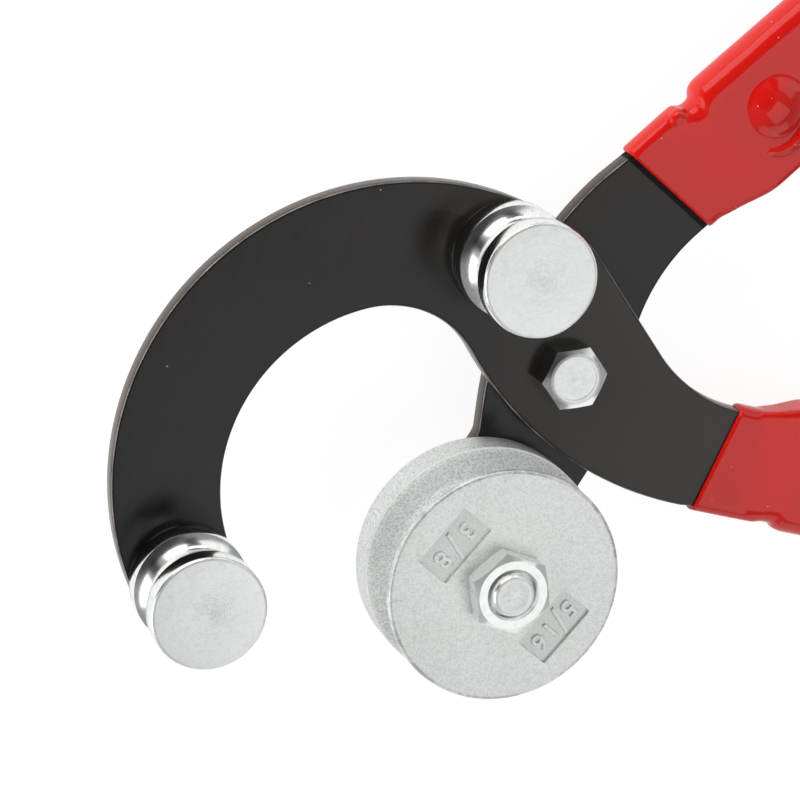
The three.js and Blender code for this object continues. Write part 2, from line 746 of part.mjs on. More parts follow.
// A handle's channel, rivets and grip, level with the middle of its plate.
function handlePieces(name, side, offset, plateZ, gripSizes) {
  const middle = plateZ + plateThickness / 2;
  const group = new THREE.Group();
  const centreY = side * offset;
  group.add(piece(`${name}_handle_channel`, handleChannel(side, offset), bareSteel(), [0, 0, middle]));
  group.add(piece(`${name}_handle_rivet_near`, rivet(), bareSteel(), [rivetNearX, centreY, middle]));
  group.add(piece(`${name}_handle_rivet_far`, rivet(), bareSteel(), [rivetFarX, centreY, middle]));
  group.add(piece(`${name}_handle_grip`, grip(side, offset, ...gripSizes), redDip(), [0, 0, middle]));
  return group;
}

function hookLever() {
  const { tip, root } = hookCircles();
  const lever = new THREE.Group();
  lever.rotation.z = radians(-handleSplayAngle);
  lever.add(piece('hook_plate', hookPlate(), blackPaint(), [0, 0, hookPlateZ]));
  lever.add(piece('tip_post', groovedPost(), brightZinc(), [tip.x, tip.y, hookPlateZ]));
  lever.add(piece('root_post', groovedPost(), brightZinc(), [root.x, root.y, hookPlateZ]));
  const gripSizes = [hookMouthInnerX, hookMouthOuterX, hookGripDent];
  lever.add(handlePieces('hook', -1, hookHandleOffset, hookPlateZ, gripSizes));
  return lever;
}

function dieLever() {
  const lever = new THREE.Group();
  const dieZ = diePlateZ + plateThickness + slideClearance;
  const nutZ = dieZ + dieHeight + slideClearance;
  lever.rotation.z = radians(handleSplayAngle);
  lever.add(piece('die_plate', diePlate(), blackPaint(), [0, 0, diePlateZ]));
  lever.add(piece('die_shoulder_bolt', dieBolt(), brightZinc(), [dieCentreX, dieCentreY, diePlateZ]));
  lever.add(piece('bending_die', bendingDie(), castZinc(), [dieCentreX, dieCentreY, dieZ]));
  lever.add(piece('die_nut', dieNut(), brightZinc(), [dieCentreX, dieCentreY, nutZ]));
  const gripSizes = [dieMouthInnerX, dieMouthOuterX, dieGripDent];
  lever.add(handlePieces('die', 1, dieHandleOffset, diePlateZ, gripSizes));
  return lever;
}

function pivotFasteners() {
  const fasteners = new THREE.Group();
  const washerBore = bore(pivotRadius, seatClearance);
  const insert = washer(pivotInsertRadius, washerBore, pivotNutCollarHeight);
  const pivotWasher = washer(pivotWasherRadius, washerBore, pivotWasherThickness);
  fasteners.add(piece('pivot_bolt', pivotBolt(), brightZinc()));
  fasteners.add(piece('pivot_washer', pivotWasher, brightZinc(), [0, 0, pivotWasherZ]));
  fasteners.add(piece('pivot_lock_nut', pivotLockNut(), brightZinc(), [0, 0, pivotNutZ]));
  fasteners.add(piece('pivot_nut_insert', insert, nylon(), [0, 0, pivotNutZ]));
  return fasteners;
}

const pliers = new THREE.Group();
pliers.add(hookLever(), dieLever(), pivotFasteners());

export default pliers;
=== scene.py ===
import math

import bmesh
import bpy
from mathutils import Matrix, Vector

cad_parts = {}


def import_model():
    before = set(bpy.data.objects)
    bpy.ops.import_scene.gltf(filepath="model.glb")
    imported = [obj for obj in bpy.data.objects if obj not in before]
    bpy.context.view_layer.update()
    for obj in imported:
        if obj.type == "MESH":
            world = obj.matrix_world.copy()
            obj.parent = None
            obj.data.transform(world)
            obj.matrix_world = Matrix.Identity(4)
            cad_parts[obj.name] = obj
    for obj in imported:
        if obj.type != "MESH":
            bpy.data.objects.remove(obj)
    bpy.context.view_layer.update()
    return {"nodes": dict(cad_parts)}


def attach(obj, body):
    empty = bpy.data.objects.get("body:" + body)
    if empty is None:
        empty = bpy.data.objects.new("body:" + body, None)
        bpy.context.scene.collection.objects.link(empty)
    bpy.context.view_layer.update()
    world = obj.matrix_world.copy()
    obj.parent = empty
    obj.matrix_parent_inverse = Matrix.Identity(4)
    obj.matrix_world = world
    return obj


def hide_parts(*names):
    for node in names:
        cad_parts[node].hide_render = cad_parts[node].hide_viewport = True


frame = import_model()
print("stage: frame loaded")

mm = 0.001
spare = 1.0  # How far cutters and hidden ends reach past what they cut or meet.
weldGap = 0.002  # Vertices closer than this are merged.
nearby = 0.3  # What lies within this of a place counts as lying there.

# Heights along the pivot in millimetres, and the angles of the levers, as on the CAD part.
levels = {
    "pivotNut": 1.0,
    "pivotWasher": 9.0,
    "diePlate": 10.7,
    "hookPlate": 15.3,
    "hookFront": 19.8,
    "dieFront": 37.9,
    "plate": 4.5,
}
splay = {"hook": -27.5, "die": 27.5}


# Working with pieces.

def clearSelection():
    if bpy.context.object and bpy.context.object.mode != "OBJECT":
        bpy.ops.object.mode_set(mode="OBJECT")
    bpy.ops.object.select_all(action="DESELECT")


def makeActive(piece):
    clearSelection()
    piece.select_set(True)
    bpy.context.view_layer.objects.active = piece


def selectAll(piece):
    # Edit mode with the whole piece selected.
    makeActive(piece)
    bpy.ops.object.mode_set(mode="EDIT")
    bpy.ops.mesh.select_all(action="SELECT")


def pointOutwards(piece):
    selectAll(piece)
    bpy.ops.mesh.normals_make_consistent(inside=False)
    bpy.ops.object.mode_set(mode="OBJECT")


def pick(piece, kind, test):
    # Edit mode with only the faces, edges or vertices that pass the test.
    makeActive(piece)
    bpy.ops.object.mode_set(mode="EDIT")
    bpy.ops.mesh.select_mode(type=kind)
    bpy.ops.mesh.select_all(action="DESELECT")
    mesh = bmesh.from_edit_mesh(piece.data)
    items = {"FACE": mesh.faces, "EDGE": mesh.edges, "VERT": mesh.verts}[kind]
    for item in items:
        item.select_set(test(item))
    mesh.select_flush_mode()
    bmesh.update_edit_mesh(piece.data)


def applyModifiers(piece):
    makeActive(piece)
    for modifier in list(piece.modifiers):
        bpy.ops.object.modifier_apply(modifier=modifier.name)


def carve(piece, cutter, operation="DIFFERENCE"):
    modifier = piece.modifiers.new("carve", "BOOLEAN")
    modifier.operation = operation
    modifier.solver = "EXACT"
    modifier.object = cutter
    applyModifiers(piece)
    bpy.data.objects.remove(cutter)


def joinPieces(pieces, name):
    makeActive(pieces[0])
    for piece in pieces[1:]:
        piece.select_set(True)
    bpy.ops.object.join()
    joined = bpy.context.object
    joined.name = name
    return joined


def settle(piece, turn=0.0):
    # Turns a piece from its lever's frame into the part's, and puts its place into its mesh.
    makeActive(piece)
    bpy.ops.object.transform_apply(location=True, rotation=True, scale=True)
    piece.data.transform(Matrix.Rotation(math.radians(turn), 4, "Z"))
    return piece


def finishPiece(piece, body, nodes, material, smoothAngle=32.0):
    selectAll(piece)
    bpy.ops.mesh.remove_doubles(threshold=weldGap * mm)
    bpy.ops.mesh.normals_make_consistent(inside=False)
    bpy.ops.object.mode_set(mode="OBJECT")
    bpy.ops.object.shade_smooth_by_angle(angle=math.radians(smoothAngle))
    piece.data.materials.clear()
    piece.data.materials.append(material)
    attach(piece, body)
    if nodes:
        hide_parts(*nodes)


def leverPoint(lever, x, y):
    turn = math.radians(splay[lever])
    return (x * math.cos(turn) - y * math.sin(turn), x * math.sin(turn) + y * math.cos(turn))


# Outlines in a plane, in millimetres and degrees.

def direction(degrees):
    return Vector((math.cos(math.radians(degrees)), math.sin(math.radians(degrees))))


def angleTo(start, end):
    return math.degrees(math.atan2(end[1] - start[1], end[0] - start[0]))


def after(angle, other):
    return other + (angle - other) % 360


def before(angle, other):
    return other - (other - angle) % 360


def arc(centre, radius, start, stop, stepAngle=2.0):
    count = max(3, math.ceil(abs(stop - start) / stepAngle))
    return [Vector(centre) + radius * direction(start + (stop - start) * i / count) for i in range(count + 1)]


def crossing(normalA, distanceA, normalB, distanceB):
    # Where two lines meet, each given by the angle of its normal and its distance from the pivot.
    a, b = direction(normalA), direction(normalB)
    scale = a.x * b.y - a.y * b.x
    return Vector(((distanceA * b.y - distanceB * a.y) / scale, (distanceB * a.x - distanceA * b.x) / scale))


def lineCircle(normal, distance, centre, radius):
    # Where a line leaves a circle.
    centre = Vector(centre)
    foot = centre + direction(normal) * (distance - centre.dot(direction(normal)))
    half = math.sqrt(radius ** 2 - (foot - centre).length_squared)
    return foot + half * direction(normal + 90)


def turnedPiece(name, profile, centre, level, sides=112, closed=False):
    # Grows ring by ring from a filled circle. A closed section leads back to its own first ring.
    clearSelection()
    radius, height = profile[0]
    place = (centre[0] * mm, centre[1] * mm, (level + height) * mm)
    filling = "NOTHING" if closed else "NGON"
    bpy.ops.mesh.primitive_circle_add(vertices=sides, radius=radius * mm, fill_type=filling, location=place)
    piece = bpy.context.object
    piece.name = name
    selectAll(piece)
    for nextRadius, nextHeight in profile[1:] + (profile[:1] if closed else []):
        bpy.ops.mesh.extrude_region_move(TRANSFORM_OT_translate={"value": (0, 0, (nextHeight - height) * mm)})
        grow = nextRadius / radius
        middle = (place[0], place[1], (level + nextHeight) * mm)
        bpy.ops.transform.resize(value=(grow, grow, 1), center_override=middle)
        radius, height = nextRadius, nextHeight
    bpy.ops.mesh.select_all(action="SELECT")
    if closed:
        bpy.ops.mesh.remove_doubles(threshold=weldGap * mm)
    bpy.ops.mesh.normals_make_consistent(inside=False)
    return settle(piece)


def roundedCorner(radius, height, size, fromAngle, toAngle, steps=5):
    # The rings of a rounded edge, from the middle and the size of its arc.
    rings = []
    for i in range(steps + 1):
        point = direction(fromAngle + (toAngle - fromAngle) * i / steps) * size
        rings.append((radius + point.x, height + point.y))
    return rings


def flatPiece(name, outline, holes, thickness, roll, level, steps=5):
    # A plate from its outline, as a filled curve whose edges are rounded by its own bevel.
    clearSelection()
    curve = bpy.data.curves.new(name, "CURVE")
    curve.dimensions = "2D"
    curve.fill_mode = "BOTH"
    for points in [outline] + holes:
        spline = curve.splines.new("POLY")
        spline.points.add(len(points) - 1)
        for target, point in zip(spline.points, points):
            target.co = (point[0] * mm, point[1] * mm, 0, 1)
        spline.use_cyclic_u = True
    curve.extrude = (thickness / 2 - roll) * mm
    curve.bevel_depth = roll * mm
    curve.bevel_resolution = steps
    curve.offset = -roll * mm
    piece = bpy.data.objects.new(name, curve)
    bpy.context.collection.objects.link(piece)
    makeActive(piece)
    bpy.ops.object.convert(target="MESH")
    piece = bpy.context.object
    piece.location = (0, 0, (level + thickness / 2) * mm)
    return settle(piece)


# Materials.

class Wire:
    # A node's output that takes part in plain arithmetic.
    def __init__(self, nodes, socket):
        self.nodes = nodes
        self.socket = socket

    def combine(self, operation, first, second):
        return self.nodes.add("ShaderNodeMath", {"operation": operation}, {0: first, 1: second})

    def __add__(self, other):
        return self.combine("ADD", self, other)

    def __radd__(self, other):
        return self.combine("ADD", other, self)

    def __sub__(self, other):
        return self.combine("SUBTRACT", self, other)

    def __rsub__(self, other):
        return self.combine("SUBTRACT", other, self)

    def __mul__(self, other):
        return self.combine("MULTIPLY", self, other)

    def __rmul__(self, other):
        return self.combine("MULTIPLY", other, self)

    def over(self, limit):
        return self.combine("GREATER_THAN", self, limit)

    def under(self, limit):
        return self.combine("LESS_THAN", self, limit)


class Nodes:
    # A node tree that grows by calls.
    def __init__(self, tree):
        self.tree = tree

    def add(self, kind, settings=None, inputs=None, output=0):
        node = self.tree.nodes.new(kind)
        for key, value in (settings or {}).items():
            if key == "stops":
                self.setStops(node.color_ramp, value)
            else:
                setattr(node, key, value)
        for key, value in (inputs or {}).items():
            if isinstance(value, Wire):
                self.tree.links.new(value.socket, node.inputs[key])
            else:
                node.inputs[key].default_value = value
        return Wire(self, node.outputs[output])

    def setStops(self, ramp, stops):
        while len(ramp.elements) < len(stops):
            ramp.elements.new(0.5)
        for element, (position, grey) in zip(ramp.elements, stops):
            element.position = position
            element.color = (grey, grey, grey, 1)

    def place(self, centre=(0, 0, 0), turn=0.0, stretch=(1, 1, 1)):
        place = self.add("ShaderNodeTexCoord", output="Object")
        steps = [("Location", [-c for c in centre])]
        if turn:
            steps.append(("Rotation", (0, 0, -turn)))
        if stretch != (1, 1, 1):
            steps.append(("Scale", stretch))
        for socket, value in steps:
            place = self.add("ShaderNodeMapping", {"vector_type": "POINT"}, {"Vector": place, socket: value})
        return place

    def axis(self, place, index):
        return self.add("ShaderNodeSeparateXYZ", {}, {0: place}, index)

    def fade(self, value, start, stop):
        # Runs from 0 at start to 1 at stop.
        return self.add("ShaderNodeMapRange", {}, {"Value": value, "From Min": start, "From Max": stop})

    def rise(self, value, base, start, stop):
        # The same between two distances from a base, in millimetres.
        return self.fade(value, (base + start) * mm, (base + stop) * mm)

    def band(self, value, base, start, full, fading, stop):
        # Rises to 1, stays there and falls back to 0.
        return self.rise(value, base, start, full) * (1 - self.rise(value, base, fading, stop))

    def along(self, place, towards):
        # How far a place lies in a direction.
        return self.add("ShaderNodeVectorMath", {"operation": "DOT_PRODUCT"}, {0: place, 1: towards}, "Value")

    def fromAxis(self, place):
        flat = self.add("ShaderNodeVectorMath", {"operation": "MULTIPLY"}, {0: place, 1: (1, 1, 0)})
        return self.add("ShaderNodeVectorMath", {"operation": "LENGTH"}, {0: flat}, "Value")

    def noise(self, place, scale, detail=2.0, roughness=0.5):
        inputs = {"Vector": place, "Scale": scale, "Detail": detail, "Roughness": roughness}
        return self.add("ShaderNodeTexNoise", {}, inputs, "Fac")

    def rings(self, distance, scale):
        # Noise in one direction only, as turning marks have.
        settings, inputs = {"noise_dimensions": "1D"}, {"W": distance * scale, "Scale": 1.0, "Detail": 3.0}
        return self.add("ShaderNodeTexNoise", settings, inputs)

    def ramp(self, value, stops):
        return self.add("ShaderNodeValToRGB", {"stops": stops}, {"Fac": value})

    def mix(self, factor, first, second):
        return self.add("ShaderNodeMix", {"data_type": "RGBA"}, {0: factor, 6: first, 7: second}, 2)

    def specks(self, place, cells, size, share):
        # Small round dots in some of the cells.
        inputs = {"Vector": place, "Scale": cells}
        distance = self.add("ShaderNodeTexVoronoi", {"feature": "F1"}, inputs, "Distance")
        colour = self.add("ShaderNodeTexVoronoi", {"feature": "F1"}, inputs, "Color")
        chance = self.add("ShaderNodeSeparateColor", {}, {"Color": colour}, 0)
        return distance.under(size) * chance.under(share)


class Finish(Nodes):
    # A material with one Principled shader.
    def __init__(self, name, constants):
        self.material = bpy.data.materials.new(name)
        self.material.use_nodes = True
        super().__init__(self.material.node_tree)
        self.shader = next(n for n in self.tree.nodes if n.type == "BSDF_PRINCIPLED")
        for socket, value in constants.items():
            self.shader.inputs[socket].default_value = value

    def feed(self, socket, value):
        self.tree.links.new(value.socket, self.shader.inputs[socket])

    def bump(self, heights):
        # Each height comes with its depth in millimetres; they are stacked into one normal.
        normal = None
        for height, depth in heights:
            inputs = {"Height": height, "Distance": depth * mm, "Strength": 1.0}
            if normal:
                inputs["Normal"] = normal
            normal = self.add("ShaderNodeBump", {}, inputs)
        self.feed("Normal", normal)


def blackEnamel(name, lever, mouth, level, shadeWidth, paintedLightShare):
    # A painted shadow darkens a narrow strip beside the grip's mouth, which runs between two points.
    # The plate's sides are browner, a painted highlight runs as a thin broken line along its front
    # edge, and painted light makes the face lighter and warmer towards the handles.
    look = {
        "dark": (0.0018, 0.0022, 0.0028, 1), "light": (0.0130, 0.0100, 0.0082, 1),
        "warm": (0.041, 0.032, 0.025, 1), "brown": (0.085, 0.056, 0.040, 1),
        "paintedEdgeGlint": (0.46, 0.41, 0.37, 1), "dust": (0.28, 0.26, 0.24, 1), "shade": (0.001, 0.001, 0.001, 1)}
    # Millimetres over the plate's back, beside the mouth, or across the pivot for the painted light.
    zones = {
        "side": (0.3, 0.7, 3.75, 4.0), "paler": (0.8, 3.6), "edge": (4.08, 4.18, 4.34, 4.42),
        "hidden": -0.2, "ridge": (-0.12, 0.18), "warm": (-25, 25)}
    finish = Finish(name, {"Metallic": 0.0, "IOR": 1.41})
    place = finish.place()
    cloud = finish.ramp(finish.noise(place, 17, 5, 0.62), [(0.34, 0), (0.66, 1)])
    smear = finish.noise(finish.place(turn=0.9, stretch=(1, 5, 1)), 90, 5, 0.65)
    peel = finish.noise(place, 420, 2, 0.5)
    dust = finish.specks(place, 210, 0.045, 0.16)
    start, end = [Vector(leverPoint(lever, *point)) * mm for point in mouth]
    away = Vector((-(end - start).y, (end - start).x)).normalized()
    away = away if away.dot(start) < 0 else -away
    gap = finish.along(place, (away.x, away.y, 0)) - away.dot(start)
    # Painted shadow: the strip beside the mouth, where the grip's edge shades the plate.
    beside = gap.over(zones["hidden"] * mm) * gap.under(shadeWidth * mm)
    ridgeStart, ridgeStop = [(shadeWidth + width) * mm for width in zones["ridge"]]
    ridge = gap.over(ridgeStart) * gap.under(ridgeStop)
    # Painted light: the face grows lighter and warmer towards the handles.
    paintedLightTowardsHandles = finish.rise(finish.axis(place, 0) + 0.01 * cloud, 0, *zones["warm"])
    height = finish.axis(place, 2)
    side = finish.band(height, level, *zones["side"])
    side = side * (1 - 0.65 * finish.rise(height, level, *zones["paler"]))
    edge = finish.band(height, level, *zones["edge"])
    # Painted highlight: a thin, broken light line along the rolled front edge.
    paintedEdgeGlint = finish.ramp(finish.noise(place, 160, 3, 0.6), [(0.35, 0.25), (0.62, 1)])
    colour = finish.mix(cloud, look["dark"], look["light"])
    # The warm colour here is painted light, not the paint's own tone.
    colour = finish.mix(paintedLightShare * paintedLightTowardsHandles, colour, look["warm"])
    colour = finish.mix(0.9 * side, colour, look["brown"])
    # The painted highlight goes onto the front edge.
    colour = finish.mix(0.6 * edge * paintedEdgeGlint, colour, look["paintedEdgeGlint"])
    colour = finish.mix(dust, colour, look["dust"])
    # The strip beside the mouth takes the near-black painted shadow colour.
    finish.feed("Base Color", finish.mix(beside, colour, look["shade"]))
    smeared = finish.ramp(smear, [(0.5, 0), (0.75, 1)])
    finish.feed("Roughness", 0.17 + 0.11 * cloud + 0.07 * smeared + 0.5 * beside)
    finish.bump([(peel, 0.008), (finish.noise(place, 2600, 2), 0.002), (ridge, 0.08)])
    return finish.material


noFace = 60.0  # A level over the whole tool, for zinc pieces without a turned face.


def turnedZinc(name, centre, faceLevel, polish, streaky, chalky=0.0):
    # Turning marks run round the piece's own axis. The face is duller than the sides, which have
    # dark streaks, and chalky zinc is less of a metal.
    look = {
        "cool": (0.85, 0.93, 0.95, 1), "warm": (0.95, 0.93, 0.87, 1), "dull": (0.60, 0.63, 0.64, 1),
        "dark": (0.16, 0.18, 0.20, 1)}
    zones = {"face": (-0.3, -0.12), "outside": (1.5, 7.0)}
    finish = Finish(name, {})
    axis = (centre[0] * mm, centre[1] * mm, 0)
    place = finish.place(axis)
    height = finish.axis(place, 2)
    radius = finish.fromAxis(place)
    along = radius + height
    coarse = finish.rings(along, 1500)
    fine = finish.rings(along, 6000)
    cloud = finish.noise(place, 130, 4, 0.6)
    grain = finish.noise(place, 1500, 4, 0.7)
    face = finish.rise(height, faceLevel, *zones["face"])
    middle = 1 - finish.rise(radius, 0, *zones["outside"])
    colour = finish.mix(cloud, look["cool"], look["warm"])
    blotch = finish.noise(place, 480, 5, 0.75)
    marks = finish.ramp(0.35 * grain + 0.4 * fine + 0.25 * blotch, [(0.40, 1), (0.52, 0)])
    colour = finish.mix(face * marks * (0.5 + 0.5 * middle), colour, look["dull"])
    drawn = finish.noise(finish.place(axis, stretch=(1, 1, 0.15)), 620, 4, 0.7)
    streaks = finish.ramp(drawn, [(0.48, 0), (0.66, 1)])
    colour = finish.mix(streaky * streaks * (1 - face), colour, look["dark"])
    finish.feed("Base Color", colour)
    finish.feed("Metallic", (1 - chalky) - 0.2 * face)
    finish.feed("Roughness", polish + 0.04 * coarse + 0.06 * cloud + face * (0.16 + 0.14 * grain))
    finish.bump([(coarse, 0.005), (fine * face * (0.5 + middle), 0.016), (grain * face, 0.016),
                 (drawn * (1 - face), 0.02 * streaky)])
    return finish.material


def castZinc(centre, faceLevel, rimRadius):
    # Sandy all over and coarser on the sides, with painted shade in the recesses and the groove, a painted
    # highlight along the back rim, and dark worn pits along the front rim.
    look = {
        "cool": (0.84, 0.89, 0.89, 1), "warm": (0.91, 0.91, 0.86, 1), "pit": (0.30, 0.32, 0.32, 1),
        "dull": (0.50, 0.53, 0.52, 1), "wearAndGlint": (0.97, 0.97, 0.94, 1)}
    # Millimetres over the front face for the first two, and outside the front rim for the others.
    zones = {
        "front": (-1.2, -0.9), "floor": (-0.62, -0.3), "inside": (-4, -3), "rim": (-0.9, -0.6),
        "groove": (-0.6, -0.2), "backRim": (0.2, 0.3, 0.5, 0.56)}
    finish = Finish("cast zinc", {"Metallic": 0.68})
    place = finish.place((centre[0] * mm, centre[1] * mm, 0))
    height = finish.axis(place, 2)
    radius = finish.fromAxis(place)
    top = finish.rise(height, faceLevel, *zones["front"])
    # Painted shade on the floors of the recessed label fields.
    sunk = top * (1 - finish.rise(height, faceLevel, *zones["floor"]))
    sunk = sunk * (1 - finish.rise(radius, rimRadius, *zones["inside"]))
    rim = top * finish.rise(radius, rimRadius, *zones["rim"])
    # Painted shade in the groove, below the front rim.
    grooveShade = (1 - top) * (1 - finish.rise(radius, rimRadius, *zones["groove"]))
    # Painted highlight: a bright line along the back flange's rim.
    edge = (1 - top) * finish.band(radius, rimRadius, *zones["backRim"])
    cloud = finish.noise(place, 85, 4, 0.6)
    sand = finish.noise(place, 2100, 4, 0.8)
    lumps = finish.noise(place, 420, 3, 0.6)
    pits = finish.ramp(finish.noise(place, 620, 5, 0.7), [(0.64, 0), (0.72, 1)])
    wearAndGlint = finish.ramp(finish.noise(place, 330, 4, 0.7), [(0.46, 0), (0.60, 1)])
    grains = finish.ramp(sand, [(0.43, 1), (0.54, 0)])
    colour = finish.mix(cloud, look["cool"], look["warm"])
    colour = finish.mix(grains * (0.75 - 0.30 * top), colour, look["dull"])
    # Painted shade darkens the recess floors and the groove, more so in the grains.
    colour = finish.mix(0.25 * sunk + grooveShade * (0.14 + 0.45 * grains), colour, look["dull"])
    # The painted highlight goes along the back rim. The front rim below gets dark worn pits.
    colour = finish.mix(0.95 * edge, colour, look["wearAndGlint"])
    colour = finish.mix(pits * 0.35 + 0.55 * (rim * wearAndGlint), colour, look["pit"])
    finish.feed("Base Color", colour)
    finish.feed("Roughness", 0.42 + 0.10 * cloud + 0.16 * sand - 0.12 * top)
    side = 1 - 0.75 * top
    finish.bump([(sand * side, 0.09), (lumps * side, 0.08), (pits, -0.03), (rim * wearAndGlint, -0.04)])
    return finish.material


def redVinyl():
    # Glossy, with slow swells from the dipping and some dust in it.
    look = {
        "deep": (0.62, 0.0065, 0.0048, 1), "bright": (0.76, 0.014, 0.008, 1), "dust": (0.80, 0.50, 0.46, 1)}
    finish = Finish("red dipped vinyl", {"Metallic": 0.0, "IOR": 1.47})
    place = finish.place()
    cloud = finish.noise(place, 30, 3, 0.5)
    smear = finish.noise(finish.place(turn=0.4, stretch=(1, 4, 1)), 110, 4, 0.6)
    swell = finish.noise(place, 95, 2, 0.4)
    peel = finish.noise(place, 500, 2, 0.5)
    dust = finish.specks(place, 400, 0.055, 0.45)
    colour = finish.mix(cloud, look["deep"], look["bright"])
    finish.feed("Base Color", finish.mix(dust, colour, look["dust"]))
    finish.feed("Roughness", 0.07 + 0.04 * cloud + 0.06 * finish.ramp(smear, [(0.5, 0), (0.8, 1)]))
    finish.bump([(swell, 0.08), (peel, 0.006), (dust, 0.03)])
    return finish.material


def paleNylon():
    look = {"dull": (0.58, 0.66, 0.74, 1), "pale": (0.72, 0.78, 0.82, 1)}
    finish = Finish("pale nylon", {"IOR": 1.53})
    place = finish.place()
    mottle = finish.noise(place, 900, 3, 0.6)
    finish.feed("Base Color", finish.mix(mottle, look["dull"], look["pale"]))
    finish.feed("Roughness", 0.42 + 0.15 * mottle)
    finish.bump([(finish.noise(place, 2400, 2), 0.01)])
    return finish.material


def plainSteel():
    look = {"dark": (0.36, 0.36, 0.37, 1), "light": (0.52, 0.52, 0.52, 1)}
    finish = Finish("plain steel", {"Metallic": 1.0})
    place = finish.place()
    cloud = finish.noise(place, 60, 4, 0.6)
    brush = finish.noise(finish.place(turn=0.5, stretch=(1, 30, 30)), 120, 4, 0.6)
    finish.feed("Base Color", finish.mix(cloud, look["dark"], look["light"]))
    finish.feed("Roughness", 0.32 + 0.2 * brush)
    finish.bump([(brush, 0.01)])
    return finish.material


# Lever plates.

hookSizes = {
    "offset": -11.0, "throat": (-31.8, -30.2), "throatRadius": 38.6, "turnRadius": 22.2,
    "turnAngle": 115.6, "tipAngle": 217.8, "tipRadius": 11.4, "backRadius": 62.9, "backAngle": 39.9,
    "shoulderRadius": 14.0, "bulgeRadius": 83.1, "waistRadius": 36.0, "waistX": 43.7,
    "edgeAngle": 49.2, "rootInset": 11.9, "rootAngle": 77.85,
}
dieSizes = {
    "offset": 13.5, "centre": (-41.1, -19.0), "armAngle": 197.5, "armRadius": 13.9, "fillet": 4.0,
    "corner": 12.0, "waistRadius": 41.4, "waistX": 41.6, "reach": 16.8, "edgeAngle": 133.8,
    "shankRadius": 74.0,
}
neck = {"hookInner": 10.6, "dieInner": 11.8, "outer": 13.25, "plateEnd": 62.0, "roll": 0.65}


def hookCircles():
    # The middles of the arcs that make the hook's outline, and of the root post.
    s = hookSizes
    throat = Vector(s["throat"])
    turn = throat + (s["throatRadius"] - s["turnRadius"]) * direction(s["turnAngle"])
    tip = throat + (s["throatRadius"] + s["tipRadius"]) * direction(s["tipAngle"])
    back = tip + (s["backRadius"] - s["tipRadius"]) * direction(s["backAngle"])
    bulgeY = s["offset"] - neck["outer"] + s["bulgeRadius"]
    touching = s["bulgeRadius"] + s["turnRadius"]
    bulge = Vector((turn.x + math.sqrt(touching ** 2 - (bulgeY - turn.y) ** 2), bulgeY))
    waist = Vector((s["waistX"], s["offset"] + neck["hookInner"] + s["waistRadius"]))
    root = back + (s["backRadius"] - s["rootInset"]) * direction(s["rootAngle"])
    return {
        "throat": throat, "turn": turn, "tip": tip, "back": back, "bulge": bulge, "waist": waist,
        "root": root}


hookCentres = hookCircles()


def hookOutline():
    # From the grip along the inner edge and the back of the hook, round its tip and back inside it.
    s, c = hookSizes, hookCentres
    edge = s["edgeAngle"]
    edgeDistance = c["waist"].dot(direction(edge)) - s["waistRadius"]
    inner = s["backRadius"] - s["shoulderRadius"]
    shoulder = lineCircle(edge, edgeDistance - s["shoulderRadius"], c["back"], inner)
    shoulderAngle = after(angleTo(c["back"], shoulder), edge)
    tipStart = after(angleTo(c["back"], c["tip"]), shoulderAngle)
    tipStop = after(angleTo(c["tip"], c["throat"]), tipStart)
    throatStart = angleTo(c["throat"], c["tip"])
    throatStop = before(angleTo(c["throat"], c["turn"]), throatStart)
    turnStop = before(angleTo(c["turn"], c["bulge"]), throatStop)
    return (
        arc(c["waist"], s["waistRadius"], -90, edge - 180)
        + arc(shoulder, s["shoulderRadius"], edge, shoulderAngle)
        + arc(c["back"], s["backRadius"], shoulderAngle, tipStart)[1:]
        + arc(c["tip"], s["tipRadius"], tipStart, tipStop)[1:]
        + arc(c["throat"], s["throatRadius"], throatStart, throatStop)[1:]
        + arc(c["turn"], s["turnRadius"], throatStop, turnStop)[1:]
        + arc(c["bulge"], s["bulgeRadius"], angleTo(c["bulge"], c["turn"]), -90)[1:]
        + [Vector((neck["plateEnd"], s["offset"] + way * neck["hookInner"])) for way in (-1, 1)]
    )


def dieOutline():
    # From the grip along the outer edge, round the die's arm and back along the inner edge.
    s = dieSizes
    centre = Vector(s["centre"])
    outerY = s["offset"] + neck["outer"]
    innerY = s["offset"] - neck["dieInner"]
    waist = Vector((s["waistX"], innerY - s["waistRadius"]))
    left, right = s["armAngle"] - 90, s["armAngle"] + 90
    leftDistance = centre.dot(direction(left)) + s["armRadius"]
    rightDistance = centre.dot(direction(right)) + s["armRadius"]
    shank = crossing(90, outerY - s["shankRadius"], s["edgeAngle"], s["reach"] - s["shankRadius"])
    fillet = crossing(s["edgeAngle"], s["reach"] + s["fillet"], left, leftDistance + s["fillet"])
    corner = lineCircle(left, s["corner"] - rightDistance, waist, s["waistRadius"] + s["corner"])
    cornerStop = after(angleTo(corner, waist), right)
    return (
        [Vector((neck["plateEnd"], s["offset"] + way * neck["dieInner"])) for way in (-1, 1)]
        + arc(shank, s["shankRadius"], 90, s["edgeAngle"])
        + arc(fillet, s["fillet"], s["edgeAngle"] + 180, left + 180)
        + arc(centre, s["armRadius"], left, right)
        + arc(corner, s["corner"], right, cornerStop)
        + arc(waist, s["waistRadius"], after(cornerStop - 180, 90), 90)[1:]
    )


def circleAt(centre, radius):
    return arc(centre, radius, 0, 360, 7.5)[:-1]


